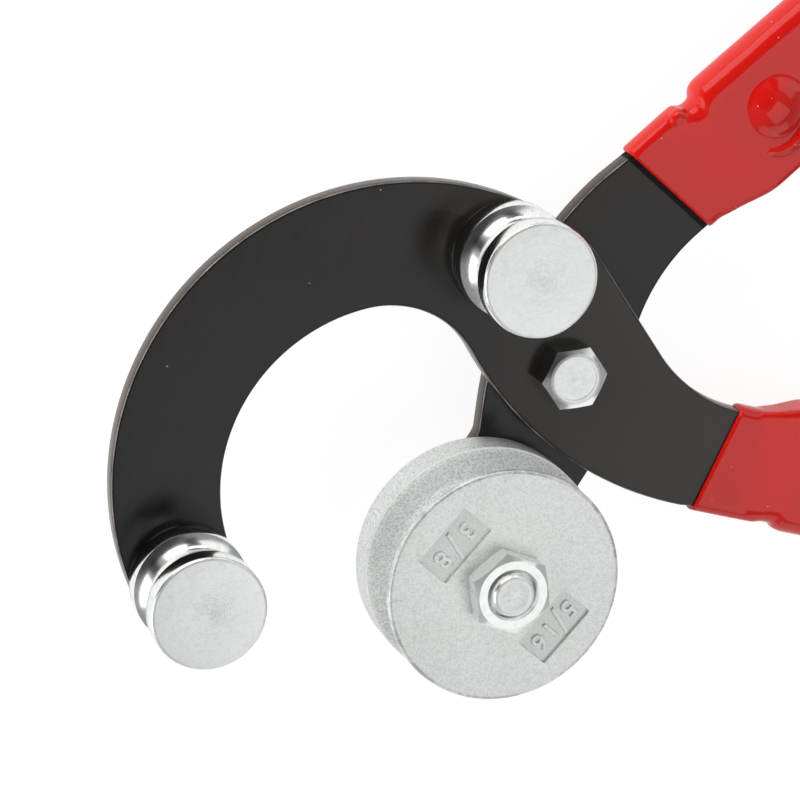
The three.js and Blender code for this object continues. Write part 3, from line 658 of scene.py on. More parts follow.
origin = (0, 0)
mouths = {"hook": ((43.0, 0.6), (38.4, -25.25)), "die": ((44.8, 0.7), (40.5, 27.75))}
holeSizes = {"post": 5.75, "pivot": 4.6, "die": 6.6}
plates = {
    "hook": {
        "outline": hookOutline(), "shadeWidth": 0.3, "paintedLightShare": 0.85,
        "holes": [(hookCentres["tip"], "post"), (hookCentres["root"], "post"), (origin, "pivot")]},
    "die": {
        "outline": dieOutline(), "shadeWidth": 1.1, "paintedLightShare": 0.1,
        "holes": [(origin, "pivot"), (dieSizes["centre"], "die")]},
}
for lever, form in plates.items():
    level = levels[lever + "Plate"]
    holes = [circleAt(centre, holeSizes[kind]) for centre, kind in form["holes"]]
    plate = flatPiece(lever + "_plate_body", form["outline"], holes, levels["plate"], neck["roll"], level)
    enamel = blackEnamel(
        lever + " enamel", lever, mouths[lever], level, form["shadeWidth"], form["paintedLightShare"])
    finishPiece(settle(plate, splay[lever]), lever + "_lever", [lever + "_plate"], enamel)
print("stage: plates")


# Grooved posts.

postSizes = {
    "radius": 12.5, "height": 20.6, "edge": 0.9, "middle": 10.4, "grooveWidth": 11.0, "grooveDepth": 4.0,
    "shank": 6.1, "seat": 0.02, "chamfer": 0.15, "footRound": 0.5, "lip": 0.35, "lipInside": 0.05,
    "sink": 0.12, "centreMark": [(4.0, 0.0), (0.8, -0.02), (0.3, -0.1)],
}


def postProfile():
    # From the shank's end through the plate, up the side with its round groove, and over the face.
    s = postSizes
    shank, radius, foot, chamfer = s["shank"], s["radius"], levels["plate"], s["chamfer"]
    top = foot + s["height"]
    halfWidth = s["grooveWidth"] / 2
    grooveRadius = (halfWidth ** 2 + s["grooveDepth"] ** 2) / (2 * s["grooveDepth"])
    wrap = math.degrees(math.asin(halfWidth / grooveRadius))
    centre = Vector((radius - s["grooveDepth"] + grooveRadius, foot + s["middle"]))
    groove = arc(centre, grooveRadius, 180 + wrap, 180 - wrap, 7.0)
    low, high = groove[0].y, groove[-1].y
    rings = [(shank - chamfer, 0.0), (shank, chamfer), (shank, foot + s["seat"])]
    rings += [(radius - s["footRound"], foot + s["seat"]), (radius - chamfer, foot + chamfer)]
    rings += [(radius, foot + s["footRound"]), (radius, low - s["lip"])]
    rings += [(radius - s["sink"], low - s["lipInside"])]
    rings += [(p.x - s["sink"], p.y) for p in groove[1:-1]]
    rings += [(radius - s["sink"], high + s["lipInside"]), (radius, high + s["lip"])]
    rings += roundedCorner(radius - s["edge"], top - s["edge"], s["edge"], 0, 90, 6)
    rings += [(size, top + rise) for size, rise in s["centreMark"]]
    return rings


for postName in ("tip_post", "root_post"):
    centre = leverPoint("hook", *hookCentres[postName.split("_")[0]])
    post = turnedPiece(postName + "_body", postProfile(), centre, levels["hookPlate"])
    faceLevel = levels["hookFront"] + postSizes["height"]
    zinc = turnedZinc(postName + " zinc", centre, faceLevel, polish=0.14, streaky=0.15)
    finishPiece(post, "hook_lever", [postName], zinc)
print("stage: posts")


# Bending die.

dieForm = {
    "radius": 26.0, "backRadius": 26.6, "height": 22.6, "edge": 0.8, "middle": 14.9, "turn": 36.0,
    "bore": 6.1, "face": 10.0, "backEdge": [(-0.6, 0.0), (-0.15, 0.15), (0.0, 0.6)],
    "small": {"tube": 4.0, "width": 10.4, "depth": 4.4}, "large": {"tube": 4.8, "width": 13.2, "depth": 5.2},
    "lowerLip": [(0.0, -0.75), (-0.12, -0.35), (-0.38, -0.1)], "grooveSink": 0.12,
    "upperLip": [(-0.15, 0.0), (0.0, 0.3)], "largeFlare": 0.9,
    "label": {"length": 15.0, "width": 8.4, "depth": 0.7, "offset": 15.4, "corner": 0.5},
    "figures": {"size": 5.8, "slash": 9.0, "lift": 0.05, "extrude": 0.26, "round": 0.16},
}
dieCentre = leverPoint("die", *dieSizes["centre"])


def shifted(rings, radius, height):
    return [(radius + out, height + up) for out, up in rings]


def grooveSection(shape):
    # The heights of a groove's two sides, and the rings round its bottom.
    s = dieForm
    centre = Vector((s["radius"] - shape["depth"] + shape["tube"], s["middle"]))
    bottom = [(p.x, p.y) for p in arc(centre, shape["tube"], 240, 120, 7.5)]
    return s["middle"] - shape["width"] / 2, s["middle"] + shape["width"] / 2, bottom


def smallGroove():
    # Down the back flange's lip, round the bottom and up to the front rim.
    s = dieForm
    low, high, bottom = grooveSection(s["small"])
    lip = shifted(s["lowerLip"], s["backRadius"], low) + [(s["radius"] - s["grooveSink"], low)]
    return lip + bottom + shifted(s["upperLip"], s["radius"], high)


def largeCutter():
    # A ring with the large groove's section, closed outside the die.
    s = dieForm
    low, high, bottom = grooveSection(s["large"])
    outside = s["backRadius"] + 2 * spare
    flare = s["largeFlare"] * (outside - s["radius"])
    below = [(outside, low - flare), (s["radius"], low)]
    above = [(s["radius"], high), (outside, high + flare)]
    return below + bottom + above


def dieBody():
    # The small groove runs all round, and the large one is cut into one half of the rim.
    s = dieForm
    level, top = levels["hookPlate"], s["height"]
    rings = shifted(s["backEdge"], s["backRadius"], 0.0) + smallGroove()
    rings += roundedCorner(s["radius"] - s["edge"], top - s["edge"], s["edge"], 0, 90)
    body = turnedPiece("bending_die_body", rings + [(s["face"], top)], dieCentre, level, 160)
    cutter = turnedPiece("large_groove", largeCutter(), dieCentre, level, 160, closed=True)
    selectAll(cutter)
    normal = direction(s["turn"] + 90)
    bpy.ops.mesh.bisect(
        plane_co=(dieCentre[0] * mm, dieCentre[1] * mm, 0), plane_no=(normal.x, normal.y, 0),
        use_fill=True, clear_inner=True)
    pointOutwards(cutter)
    carve(body, cutter)
    for side in (0, 180):
        carve(body, labelCutter(direction(s["turn"] + 90 + side)))
    bore = [(s["bore"], -2 * spare), (s["bore"], top + 2 * spare)]
    carve(body, turnedPiece("die_bore", bore, dieCentre, level, 96))
    return body


def labelCutter(towards):
    # A block with round corners that sinks one of the two label fields.
    s = dieForm["label"]
    clearSelection()
    x, y = dieCentre[0] + towards.x * s["offset"], dieCentre[1] + towards.y * s["offset"]
    z = levels["hookPlate"] + dieForm["height"] + spare - s["depth"]
    bpy.ops.mesh.primitive_cube_add(
        size=1, location=(x * mm, y * mm, z * mm), rotation=(0, 0, math.radians(dieForm["turn"])))
    cutter = bpy.context.object
    cutter.scale = (s["length"] * mm, s["width"] * mm, 2 * spare * mm)
    settle(cutter)
    pick(cutter, "EDGE", lambda e: abs(e.verts[0].co.z - e.verts[1].co.z) > mm)
    bpy.ops.mesh.bevel(offset=s["corner"] * mm, segments=3, affect="EDGES")
    bpy.ops.object.mode_set(mode="OBJECT")
    return cutter


def sizeMark(name, glyphs, towards):
    # Raised figures on the recess floor, each at its place along the reading direction.
    label, figures = dieForm["label"], dieForm["figures"]
    reading = dieForm["turn"] + 180
    z = levels["hookPlate"] + dieForm["height"] - label["depth"] + figures["lift"]
    parts = []
    for glyph, along in glyphs:
        clearSelection()
        place = Vector(dieCentre) + towards * label["offset"] + along * direction(reading)
        bpy.ops.object.text_add(
            location=(place.x * mm, place.y * mm, z * mm), rotation=(0, 0, math.radians(reading)))
        mark = bpy.context.object
        mark.data.body = glyph
        mark.data.size = (figures["slash"] if glyph == "/" else figures["size"]) * mm
        mark.data.align_x = "CENTER"
        mark.data.align_y = "CENTER"
        mark.data.extrude = figures["extrude"] * mm
        mark.data.bevel_depth = figures["round"] * mm
        mark.data.bevel_resolution = 2
        bpy.ops.object.convert(target="MESH")
        parts.append(settle(bpy.context.object))
    return joinPieces(parts, name)


sizeMarks = {
    "size_mark_large": (0, [("3", -4.0), ("/", 0.0), ("8", 4.0)]),
    "size_mark_small": (180, [("5", -4.9), ("/", -1.8), ("1", 1.1), ("6", 4.6)]),
}
sandyZinc = castZinc(dieCentre, levels["hookPlate"] + dieForm["height"], dieForm["radius"])
finishPiece(dieBody(), "die", ["bending_die"], sandyZinc)
for markName, (side, glyphs) in sizeMarks.items():
    mark = sizeMark(markName, glyphs, direction(dieForm["turn"] + 90 + side))
    finishPiece(mark, "die", [], sandyZinc)
print("stage: die")


# Bolts, nuts and washers.

coneReach = 1.15  # The cone that turns a hexagon's corners off, as a share of their reach.
hexAngle = 20.0  # Hexagons keep the edges of their flanks sharper than other pieces.
threadShape = ((1, 0.08), (0, 0.45), (0, 0.6), (1, 0.97))  # Depth and place in one pitch, as shares.


def hexPiece(name, across, height, centre, level, turn, bothEnds, faceShare=0.95, slope=30.0):
    # A hexagon whose corners are turned off at its far end or at both.
    clearSelection()
    corner = across / math.sqrt(3)
    place = (centre[0] * mm, centre[1] * mm, (level + height / 2) * mm)
    bpy.ops.mesh.primitive_cylinder_add(
        vertices=6, radius=corner * mm, depth=height * mm, location=place,
        rotation=(0, 0, math.radians(turn - 90)))
    piece = bpy.context.object
    piece.name = name
    settle(piece)
    face = across / 2 * faceShare
    outer = corner * coneReach
    drop = (outer - face) * math.tan(math.radians(slope))
    back = [(face, 0.0), (outer, drop)] if bothEnds else [(outer, 0.0)]
    limit = turnedPiece("limit", back + [(outer, height - drop), (face, height)], centre, level, 96)
    carve(piece, limit, "INTERSECT")
    return piece


def threadRings(radius, depth, pitch, start, stop):
    # Ridges that stand for a thread, from one height to another.
    count = max(1, round((stop - start) / pitch))
    step = (stop - start) / count
    return [
        (radius - sunk * depth, start + (i + share) * step)
        for i in range(count) for sunk, share in threadShape]


pivotSizes = {
    "radius": 4.0, "across": 13.0, "head": 5.3, "turn": -7.8, "faceShare": 0.80, "slope": 24.0,
    "dish": 4.6, "dishDepth": 0.15, "point": [(-1.0, 0.0), (-0.65, 0.3)], "threadDepth": 0.55,
    "pitch": 1.25, "thread": (0.7, 9.45), "runout": 0.15, "hole": 4.05, "washer": 8.0, "washerThick": 1.6,
}
nutSizes = {
    "hex": 5.8, "collar": 2.2, "collarRadius": 6.0, "collarEdge": [(-0.9, 0.0), (-0.35, 0.12), (0.0, 0.6)],
    "insert": 5.2, "insertGap": 0.05, "insertEdge": 0.3,
}


def pivotBolt():
    s = pivotSizes
    front, radius = levels["hookFront"], s["radius"]
    head = hexPiece(
        "pivot_bolt_body", s["across"], s["head"], origin, front, s["turn"], False, s["faceShare"],
        s["slope"])
    dish = [(s["dish"], s["head"] - s["dishDepth"]), (s["dish"] + s["dishDepth"], s["head"] + spare)]
    carve(head, turnedPiece("dish", dish, origin, front, 96))
    rings = shifted(s["point"], radius, 0.0)
    rings += threadRings(radius, s["threadDepth"], s["pitch"], *s["thread"])
    rings += [(radius, s["thread"][1] + s["runout"]), (radius, front + spare)]
    return joinPieces([head, turnedPiece("stud", rings, origin, 0.0, 64)], "pivot_bolt_body")


def ringPiece(name, inner, outer, thickness, centre, level, edge=0.15, sides=96):
    rings = [(outer - edge, 0.0), (outer, edge), (outer, thickness - edge), (outer - edge, thickness)]
    piece = turnedPiece(name, rings, centre, level, sides)
    bore = [(inner, -spare), (inner, thickness + spare)]
    carve(piece, turnedPiece("bore", bore, centre, level, sides))
    return piece


def lockNut():
    # The hexagon stands on a round collar that holds the nylon ring.
    s = nutSizes
    level, hole, collar = levels["pivotNut"], pivotSizes["hole"], s["collar"]
    nut = hexPiece("pivot_lock_nut_body", pivotSizes["across"], s["hex"], origin, level + collar, 0.0, True)
    rings = shifted(s["collarEdge"], s["collarRadius"], 0.0) + [(s["collarRadius"], collar + spare)]
    carve(nut, turnedPiece("collar", rings, origin, level, 96), "UNION")
    wide = s["insert"] + s["insertGap"]
    pocket = [(wide, -spare), (wide, collar), (hole, collar), (hole, s["hex"] + collar + spare)]
    carve(nut, turnedPiece("pocket", pocket, origin, level, 96))
    return nut


def pivotWasher():
    s = pivotSizes
    return ringPiece(
        "pivot_washer_body", s["hole"], s["washer"], s["washerThick"], origin, levels["pivotWasher"])


def nutInsert():
    s = nutSizes
    return ringPiece(
        "pivot_nut_insert_body", pivotSizes["hole"], s["insert"], s["collar"], origin, levels["pivotNut"],
        s["insertEdge"])


headTop = levels["hookFront"] + pivotSizes["head"]
boltZinc = turnedZinc("bolt zinc", origin, headTop, polish=0.16, streaky=0.2)
backZinc = turnedZinc("fastener zinc", origin, noFace, polish=0.18, streaky=0.3)
finishPiece(pivotBolt(), "hook_lever", ["pivot_bolt"], boltZinc, hexAngle)
finishPiece(pivotWasher(), "hook_lever", ["pivot_washer"], backZinc)
finishPiece(lockNut(), "hook_lever", ["pivot_lock_nut"], backZinc, hexAngle)
finishPiece(nutInsert(), "hook_lever", ["pivot_nut_insert"], paleNylon())

dieBoltSizes = {
    "across": 16.0, "head": 6.4, "turn": 26.0, "shoulder": 6.0, "gap": 0.1, "nut": 5.2, "stud": 1.0,
    "thread": 5.0, "undercut": 0.5, "threadDepth": 0.55, "pitch": 1.5, "threadStart": 0.1, "threadEnd": 1.25,
    "point": (0.2, 1.15), "pointInset": 1.25, "pointRound": 0.95,
    "endMark": [(2.9, 0.0), (2.6, -0.08), (0.6, -0.1)],
    "nutFoot": [(5.3, -spare), (5.05, 0.4)], "nutMouth": [(5.05, -0.75), (5.95, 0.15), (5.95, spare)],
}
shoulderTop = levels["dieFront"] + dieBoltSizes["gap"]
studEnd = shoulderTop + dieBoltSizes["nut"] + dieBoltSizes["stud"]


def dieBolt():
    # Head behind the plate, shoulder through plate and die, thread through the nut.
    s = dieBoltSizes
    plateBack, thread, pointRound = levels["diePlate"], s["thread"], s["pointRound"]
    head = hexPiece("die_shoulder_bolt_body", s["across"], s["head"], dieCentre, 0.0, splay["die"], False)
    head.data.transform(Matrix.Scale(-1, 4, (0, 0, 1)))
    head.data.transform(Matrix.Translation((0, 0, plateBack * mm)))
    pointOutwards(head)
    rings = [(s["shoulder"], plateBack - spare), (s["shoulder"], shoulderTop)]
    rings += [(thread - s["undercut"], shoulderTop)]
    rings += threadRings(
        thread, s["threadDepth"], s["pitch"], shoulderTop + s["threadStart"], studEnd - s["threadEnd"])
    rings += [(thread - s["point"][0], studEnd - s["point"][1])]
    rings += roundedCorner(thread - s["pointInset"], studEnd - pointRound, pointRound, 15, 90)
    rings += shifted(s["endMark"], 0.0, studEnd)
    return joinPieces([head, turnedPiece("stud", rings, dieCentre, 0.0, 96)], "die_shoulder_bolt_body")


def dieNut():
    s = dieBoltSizes
    nut = hexPiece("die_nut_body", s["across"], s["nut"], dieCentre, shoulderTop, s["turn"], True)
    hole = s["nutFoot"] + shifted(s["nutMouth"], 0.0, s["nut"])
    carve(nut, turnedPiece("hole", hole, dieCentre, shoulderTop, 96))
    return nut


studZinc = turnedZinc("stud zinc", dieCentre, studEnd, polish=0.16, streaky=0.2)
nutZinc = turnedZinc("nut zinc", dieCentre, noFace, polish=0.10, streaky=0.15, chalky=0.35)
finishPiece(dieBolt(), "die_lever", ["die_shoulder_bolt"], studZinc, hexAngle)
finishPiece(dieNut(), "die_lever", ["die_nut"], nutZinc, hexAngle)
print("stage: fasteners")


# Dipped grips.

gripSizes = {
    "skin": 1.0, "neckHalf": 3.3, "half": 5.35, "end": 275.0, "startReach": 15.25, "endReach": 13.25,
    "neckEnd": 55.0, "flareStart": 48.0, "dipStart": 54.4, "dipEnd": 56.6, "notchEnd": 58.95,
    "flareEnd": 62.45, "tuck": 0.4, "endLength": 9.0, "endSteps": 7, "endShrink": (0.72, 0.45),
    "stations": [61.8, 61.0, 60.2, 59.5, 58.0, 57.2, 56.6, 55.9, 55.2, 54.4, 52.5, 50.0],
    "fold": 4.9, "lips": 1.5, "seamWidth": 1.5, "seamDepth": 0.75, "neckRound": 2.5, "mouthRound": 0.4,
    "rivets": (71.2, 104.0), "bump": 9.0, "bumpTop": 8.1, "bumpShift": 0.5, "foldRadius": 7.9,
    "foldShift": 1.9, "foldLift": 0.15, "foldBalls": 26, "foldSize": (0.4, 0.6),
    "pinch": (5.5, 3.2, 9.0), "crease": (1.0, 2.2, 1.3), "creaseReach": 12.6, "dripLength": 1.3,
    "voxel": 0.45, "swellSize": 16.0, "swellHeight": 0.26, "swellLevel": 0.7, "smoothing": 9,
}


def boxPiece(name, low, high):
    clearSelection()
    middle = [(a + b) / 2 * mm for a, b in zip(low, high)]
    bpy.ops.mesh.primitive_cube_add(size=1, location=middle)
    piece = bpy.context.object
    piece.name = name
    piece.scale = [(b - a) * mm for a, b in zip(low, high)]
    return settle(piece)


def drawEnd(bar, way, x, middle, sections):
    # Draws an end face through sections of place along the handle, low y, high y and half height.

    def onEnd(face):
        return face.normal.x * way > 0.9 and abs(face.calc_center_median().x - x * mm) < nearby * mm

    pick(bar, "FACE", onEnd)
    at, low, high, half = sections[0]
    for nextAt, nextLow, nextHigh, nextHalf in sections[1:]:
        bpy.ops.mesh.extrude_region_move(TRANSFORM_OT_translate={"value": ((nextAt - at) * mm, 0, 0)})
        centre = (nextAt * mm, (low + high) / 2 * mm, middle * mm)
        wider = (nextHigh - nextLow) / (high - low)
        bpy.ops.transform.resize(value=(1, wider, nextHalf / half), center_override=centre)
        moved = (nextHigh + nextLow - high - low) / 2
        bpy.ops.transform.translate(value=(0, moved * mm, 0))
        at, low, high, half = nextAt, nextLow, nextHigh, nextHalf
    bpy.ops.object.mode_set(mode="OBJECT")


def smoothStep(value, start, stop):
    share = min(1, max(0, (value - start) / (stop - start)))
    return share * share * (3 - 2 * share)


def flareSections(side, offset, innerReach, dent):
    # From the handle part back to the neck: slow on the faces and inner edge, quick on the outer edge.
    s = gripSizes
    sections = []
    for x in sorted(s["stations"] + [s["flareStart"], s["notchEnd"], s["flareEnd"]], reverse=True):
        slow = smoothStep(x, s["flareStart"], s["flareEnd"])
        quick = math.sqrt(1 - min(1, (s["flareEnd"] - x) / (s["flareEnd"] - s["notchEnd"])) ** 2)
        tuck = s["tuck"] if x == s["flareStart"] else 0.0
        inner = innerReach + slow * (s["startReach"] - innerReach) - tuck
        outer = neck["outer"] + s["skin"] - tuck - dent * smoothStep(x, s["dipStart"], s["dipEnd"])
        outer += quick * (s["startReach"] - outer)
        ys = sorted((offset - side * inner, offset + side * outer))
        sections.append((x, ys[0], ys[1], s["neckHalf"] + slow * (s["half"] - s["neckHalf"]) - tuck / 2))
    return sections


def endSections(offset):
    # The handle's end narrows and thins along a quarter of a wave.
    s = gripSizes
    start = s["end"] - s["endLength"]
    narrowing, thinning = s["endShrink"]
    sections = []
    for step in range(s["endSteps"] + 1):
        angle = step / s["endSteps"] * math.pi / 2
        shrink = 1 - math.cos(angle)
        reach = s["endReach"] * (1 - narrowing * shrink)
        half = s["half"] * (1 - thinning * shrink)
        sections.append((start + s["endLength"] * math.sin(angle), offset - reach, offset + reach, half))
    return sections


def handlePart(side, offset, middle, innerReach, dent):
    # The wide part: a tapered bar with a round back, two lips with a seam between, and a round end.
    s = gripSizes
    flare, end = flareSections(side, offset, innerReach, dent), endSections(offset)
    startX, endX = flare[0][0], end[0][0]
    low = (startX, offset - s["startReach"], middle - s["half"])
    high = (endX, offset + s["startReach"], middle + s["half"])
    bar = boxPiece("handle_part", low, high)
    halfWay, length = (startX + endX) / 2, endX - startX
    pick(bar, "VERT", lambda v: v.co.x > halfWay * mm)
    taper = s["endReach"] / s["startReach"]
    bpy.ops.transform.resize(value=(1, taper, 1), center_override=(endX * mm, offset * mm, middle * mm))

    def lengthways(edge, outward):
        run = abs(edge.verts[0].co.x - edge.verts[1].co.x) > length / 2 * mm
        level = (edge.verts[0].co.y + edge.verts[1].co.y) / 2 - offset * mm
        return run and (side * level > 0) == outward

    pick(bar, "EDGE", lambda e: lengthways(e, True))
    bpy.ops.mesh.bevel(offset=s["fold"] * mm, segments=8, affect="EDGES")
    pick(bar, "EDGE", lambda e: lengthways(e, False))
    bpy.ops.mesh.bevel(offset=s["lips"] * mm, segments=4, affect="EDGES")
    pick(bar, "FACE", lambda f: f.normal.y * side < -0.95 and f.calc_area() > length * s["half"] * mm ** 2)
    bpy.ops.mesh.inset(thickness=(s["half"] - s["lips"] - s["seamWidth"] / 2) * mm, use_boundary=True)
    bpy.ops.transform.translate(value=(0, side * s["seamDepth"] * mm, 0))
    drawEnd(bar, 1, endX, middle, end)
    drawEnd(bar, -1, startX, middle, flare)
    return bar


def neckPart(side, offset, middle, mouth):
    # The sleeve over the plate's neck, with its slanted mouth.
    s = gripSizes
    (innerX, innerY), (outerX, outerY) = mouth
    ys = sorted((innerY, outerY))
    low, high = (outerX, ys[0], middle - s["neckHalf"]), (s["neckEnd"], ys[1], middle + s["neckHalf"])
    sleeve = boxPiece("neck_part", low, high)
    halfWay, halfLength = (outerX + s["neckEnd"]) / 2, (s["neckEnd"] - innerX) / 2
    pick(sleeve, "VERT", lambda v: abs(v.co.y - innerY * mm) < nearby * mm and v.co.x < halfWay * mm)
    bpy.ops.transform.translate(value=((innerX - outerX) * mm, 0, 0))
    pick(sleeve, "EDGE", lambda e: abs(e.verts[0].co.x - e.verts[1].co.x) > halfLength * mm)
    bpy.ops.mesh.bevel(offset=s["neckRound"] * mm, segments=5, affect="EDGES")
    pick(sleeve, "EDGE", lambda e: e.calc_face_angle(0) > 0.9)
    bpy.ops.mesh.bevel(offset=s["mouthRound"] * mm, segments=3, affect="EDGES")
    bpy.ops.object.mode_set(mode="OBJECT")
    return sleeve


def ball(name, centre, size):
    clearSelection()
    place = [c * mm for c in centre]
    bpy.ops.mesh.primitive_uv_sphere_add(segments=32, ring_count=16, radius=1, location=place)
    piece = bpy.context.object
    piece.name = name
    piece.scale = [c * mm for c in size]
    return settle(piece)


def foldRing(x, offset, middle, start, stop):
    # A crescent ridge in the skin beside a rivet head, which it touches at its far end.
    s = gripSizes
    least, more = s["foldSize"]
    parts = []
    for i in range(s["foldBalls"] + 1):
        share = i / s["foldBalls"]
        place = Vector((x, offset)) + s["foldShift"] * direction(start)
        place += s["foldRadius"] * direction(start + (stop - start) * share)
        size = least + more * math.sin(math.pi * share)
        centre = (place.x, place.y, middle + s["half"] + s["foldLift"])
        parts.append(ball("fold", centre, (size, size, size)))
    return parts


def grip(lever, side, offset, middle, dent, drips, folds, pinch, crease):
    # One skin from the handle part and the sleeve, with its dips, drips, bumps and folds.
    s = gripSizes
    bar = handlePart(side, offset, middle, neck[lever + "Inner"] + s["skin"], dent)
    pinchX, pinchDepth = pinch
    pinchY = offset - side * (s["startReach"] + s["pinch"][1] - pinchDepth)
    carve(bar, ball("pinch", (pinchX, pinchY, middle), s["pinch"]))
    creaseX, creaseLevel = crease
    creaseY = offset + side * s["creaseReach"]
    carve(bar, ball("crease", (creaseX, creaseY, middle + creaseLevel), s["crease"]))
    parts = [bar, neckPart(side, offset, middle, mouths[lever])]
    for x in s["rivets"]:
        centre = (x + s["bumpShift"], offset, middle)
        parts.append(ball("bump", centre, (s["bump"], s["bump"], s["bumpTop"])))
    for x, y, z, size in drips:
        centre = (x, offset + side * y, middle + z)
        parts.append(ball("drip", centre, (size * s["dripLength"], size, size)))
    for start, stop in folds:
        parts += foldRing(s["rivets"][0], offset, middle, start, stop)
    skin = joinPieces(parts, lever + "_handle_grip_body")
    remesh = skin.modifiers.new("remesh", "REMESH")
    remesh.mode = "VOXEL"
    remesh.voxel_size = s["voxel"] * mm
    swell = skin.modifiers.new("swell", "DISPLACE")
    swell.texture = bpy.data.textures.new(lever + " swell", "CLOUDS")
    swell.texture.noise_scale = s["swellSize"] * mm
    swell.strength = s["swellHeight"] * mm
    swell.mid_level = s["swellLevel"]
    smooth = skin.modifiers.new("smooth", "SMOOTH")
    smooth.factor = 0.5
    smooth.iterations = s["smoothing"]
    applyModifiers(skin)
    return settle(skin, splay[lever])


vinyl = redVinyl()
grips = {
    "hook": {
        "side": -1, "offset": hookSizes["offset"], "dent": 0.5, "drips": [(84.0, 14.4, 0.0, 1.4)],
        "folds": [(10, 115)], "pinch": (90.0, 0.5), "crease": (57.2, 5.4)},
    "die": {
        "side": 1, "offset": dieSizes["offset"], "dent": 1.5,
        "drips": [(53.6, 12.4, 2.2, 1.9), (66.0, -14.4, 1.5, 1.3)],
        "folds": [(-135, 30)], "pinch": (74.5, 0.8), "crease": (57.3, 4.7)},
}
for lever, form in grips.items():
    skin = grip(lever, middle=levels[lever + "Plate"] + levels["plate"] / 2, **form)
    finishPiece(skin, lever + "_lever", [lever + "_handle_grip"], vinyl, 60.0)
steel = plainSteel()
for name, node in frame["nodes"].items():
    if "channel" in name or "rivet" in name:
        node.data.materials.clear()
        node.data.materials.append(steel)
print("stage: grips")


# Floor, light and camera.

def studioFloor():
    # It glows only for the camera and in mirrors. So it joins the white background, and its glow
    # lights nothing from below.
    look = {
        "size": 6, "drop": 0.0003, "low": (0.86, 0.86, 0.86, 1), "high": (0.90, 0.90, 0.90, 1),
        "darker": (0.28, 0.28, 0.28, 1), "none": (0, 0, 0, 1), "glow": (0.88, 0.88, 0.88, 1)}
    clearSelection()
    bpy.ops.mesh.primitive_plane_add(size=look["size"], location=(0, 0, -look["drop"]))
    floor = bpy.context.object
    floor.name = "floor"
    finish = Finish("pale floor", {"Roughness": 0.85, "Specular IOR Level": 0.2})
    mottle = finish.noise(finish.place(), 30, 3)
    pale = finish.mix(mottle, look["low"], look["high"])
    seen = finish.add("ShaderNodeLightPath", output="Is Camera Ray")
    mirrored = finish.add("ShaderNodeLightPath", output="Is Glossy Ray")
    finish.feed("Base Color", finish.mix(seen + mirrored, pale, look["darker"]))
    finish.feed("Emission Color", finish.mix(seen + 0.9 * mirrored, look["none"], look["glow"]))
    finish.shader.inputs["Emission Strength"].default_value = 1.0
    floor.data.materials.append(finish.material)


def softLamp(name, place, size, power, mirrored=True):
    # Points at the tool. One that isn't mirrored only lights and leaves no reflection.
    data = bpy.data.lights.new(name, "AREA")
    data.shape = "RECTANGLE"
    data.size, data.size_y = size
    data.energy = power
    lamp = bpy.data.objects.new(name, data)
    lamp.location = place
    lamp.rotation_euler = (Vector(lampTarget) - Vector(place)).to_track_quat("-Z", "Y").to_euler()
    lamp.visible_glossy = mirrored
    bpy.context.collection.objects.link(lamp)


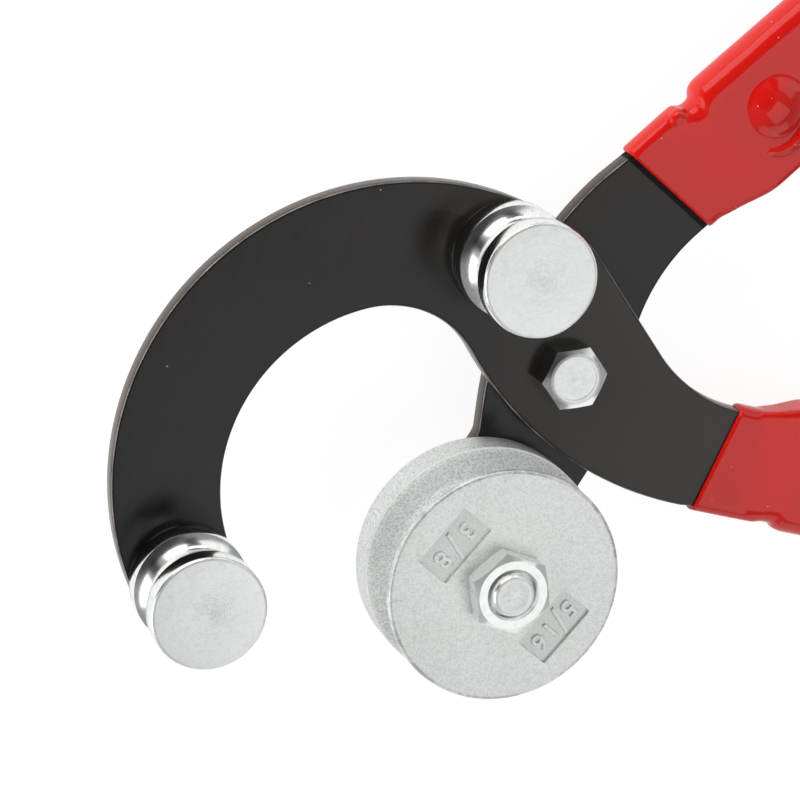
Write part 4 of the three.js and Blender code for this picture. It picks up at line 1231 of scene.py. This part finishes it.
def studioWorld():
    # A grey sky, darker high up than just over the ground, with dark gaps between the lamps and round the
    # camera.
    look = {
        "sky": [(0.0, 0.36), (0.15, 0.40), (0.40, 0.34), (0.65, 0.26), (1.0, 0.30)],
        "gaps": ((2.50, 0.13), (1.12, 0.15)), "gapTop": (0.75, 0.85), "gapDepth": 0.88,
        "camera": (-0.27, 0.345, 0.90), "cameraShade": (0.82, 0.93), "cameraDepth": 0.85}
    world = bpy.data.worlds.new("studio")
    bpy.context.scene.world = world
    world.use_nodes = True
    sky = Nodes(world.node_tree)
    outward = sky.add("ShaderNodeTexCoord", output="Generated")
    height = sky.axis(outward, 2)
    around = sky.axis(outward, 1).combine("ARCTAN2", sky.axis(outward, 1), sky.axis(outward, 0))
    shade = sky.ramp(height, look["sky"])
    low = 1 - sky.fade(height, *look["gapTop"])
    for middle, width in look["gaps"]:
        distance = (around - middle).combine("ABSOLUTE", around - middle, 0.0)
        gap = low * (1 - sky.fade(distance, width, 1.8 * width))
        shade = shade * (1 - look["gapDepth"] * gap)
    facing = sky.fade(sky.along(outward, look["camera"]), *look["cameraShade"])
    shade = shade * (1 - look["cameraDepth"] * facing)
    seen = sky.add("ShaderNodeLightPath", output="Is Camera Ray")
    colour = sky.mix(seen, shade, (1, 1, 1, 1))
    sky.tree.links.new(colour.socket, sky.tree.nodes["Background"].inputs["Color"])


def photoCamera():
    # Where the photograph was taken from, with its right and up axes.
    shot = {
        "place": (-0.18131, 0.22972, 0.60054), "right": (0.9359, -0.1819, 0.3016),
        "up": (0.2715, 0.9182, -0.2885), "lens": 135.0}
    data = bpy.data.cameras.new("photo camera")
    data.sensor_width = 36.0
    data.lens = shot["lens"]
    data.clip_start = 0.01
    data.clip_end = 20.0
    camera = bpy.data.objects.new("photo camera", data)
    right = Vector(shot["right"]).normalized()
    up = Vector(shot["up"])
    up = (up - up.dot(right) * right).normalized()
    away = right.cross(up)
    turnTo = Matrix((right, up, away)).transposed().to_4x4()
    camera.matrix_world = Matrix.Translation(shot["place"]) @ turnTo
    bpy.context.collection.objects.link(camera)
    bpy.context.scene.camera = camera


lampTarget = (0, 0, 0.02)
lamps = {
    "overhead": ((0.27, -0.35, 0.92), (0.8, 0.8), 1.82),
    "left key": ((-0.97, -0.10, 0.37), (0.75, 0.6), 2.3),
    "back key": ((-0.20, 0.97, 0.39), (0.75, 0.6), 2.3),
    "back strip": ((0.35, 1.0, 0.30), (0.9, 0.08), 1.0),
    "right fill": ((0.8, 0.45, 0.50), (0.8, 0.6), 1.1),
    "front fill": ((0.1, -1.0, 0.35), (1.2, 0.6), 1.5),
    "side wash": ((-0.75, 0.60, 0.24), (0.9, 0.4), 7.0, False),
}
studioFloor()
studioWorld()
for name, settings in lamps.items():
    softLamp(name, *settings)
photoCamera()
bpy.context.scene.view_settings.view_transform = "Standard"
print("stage: studio")
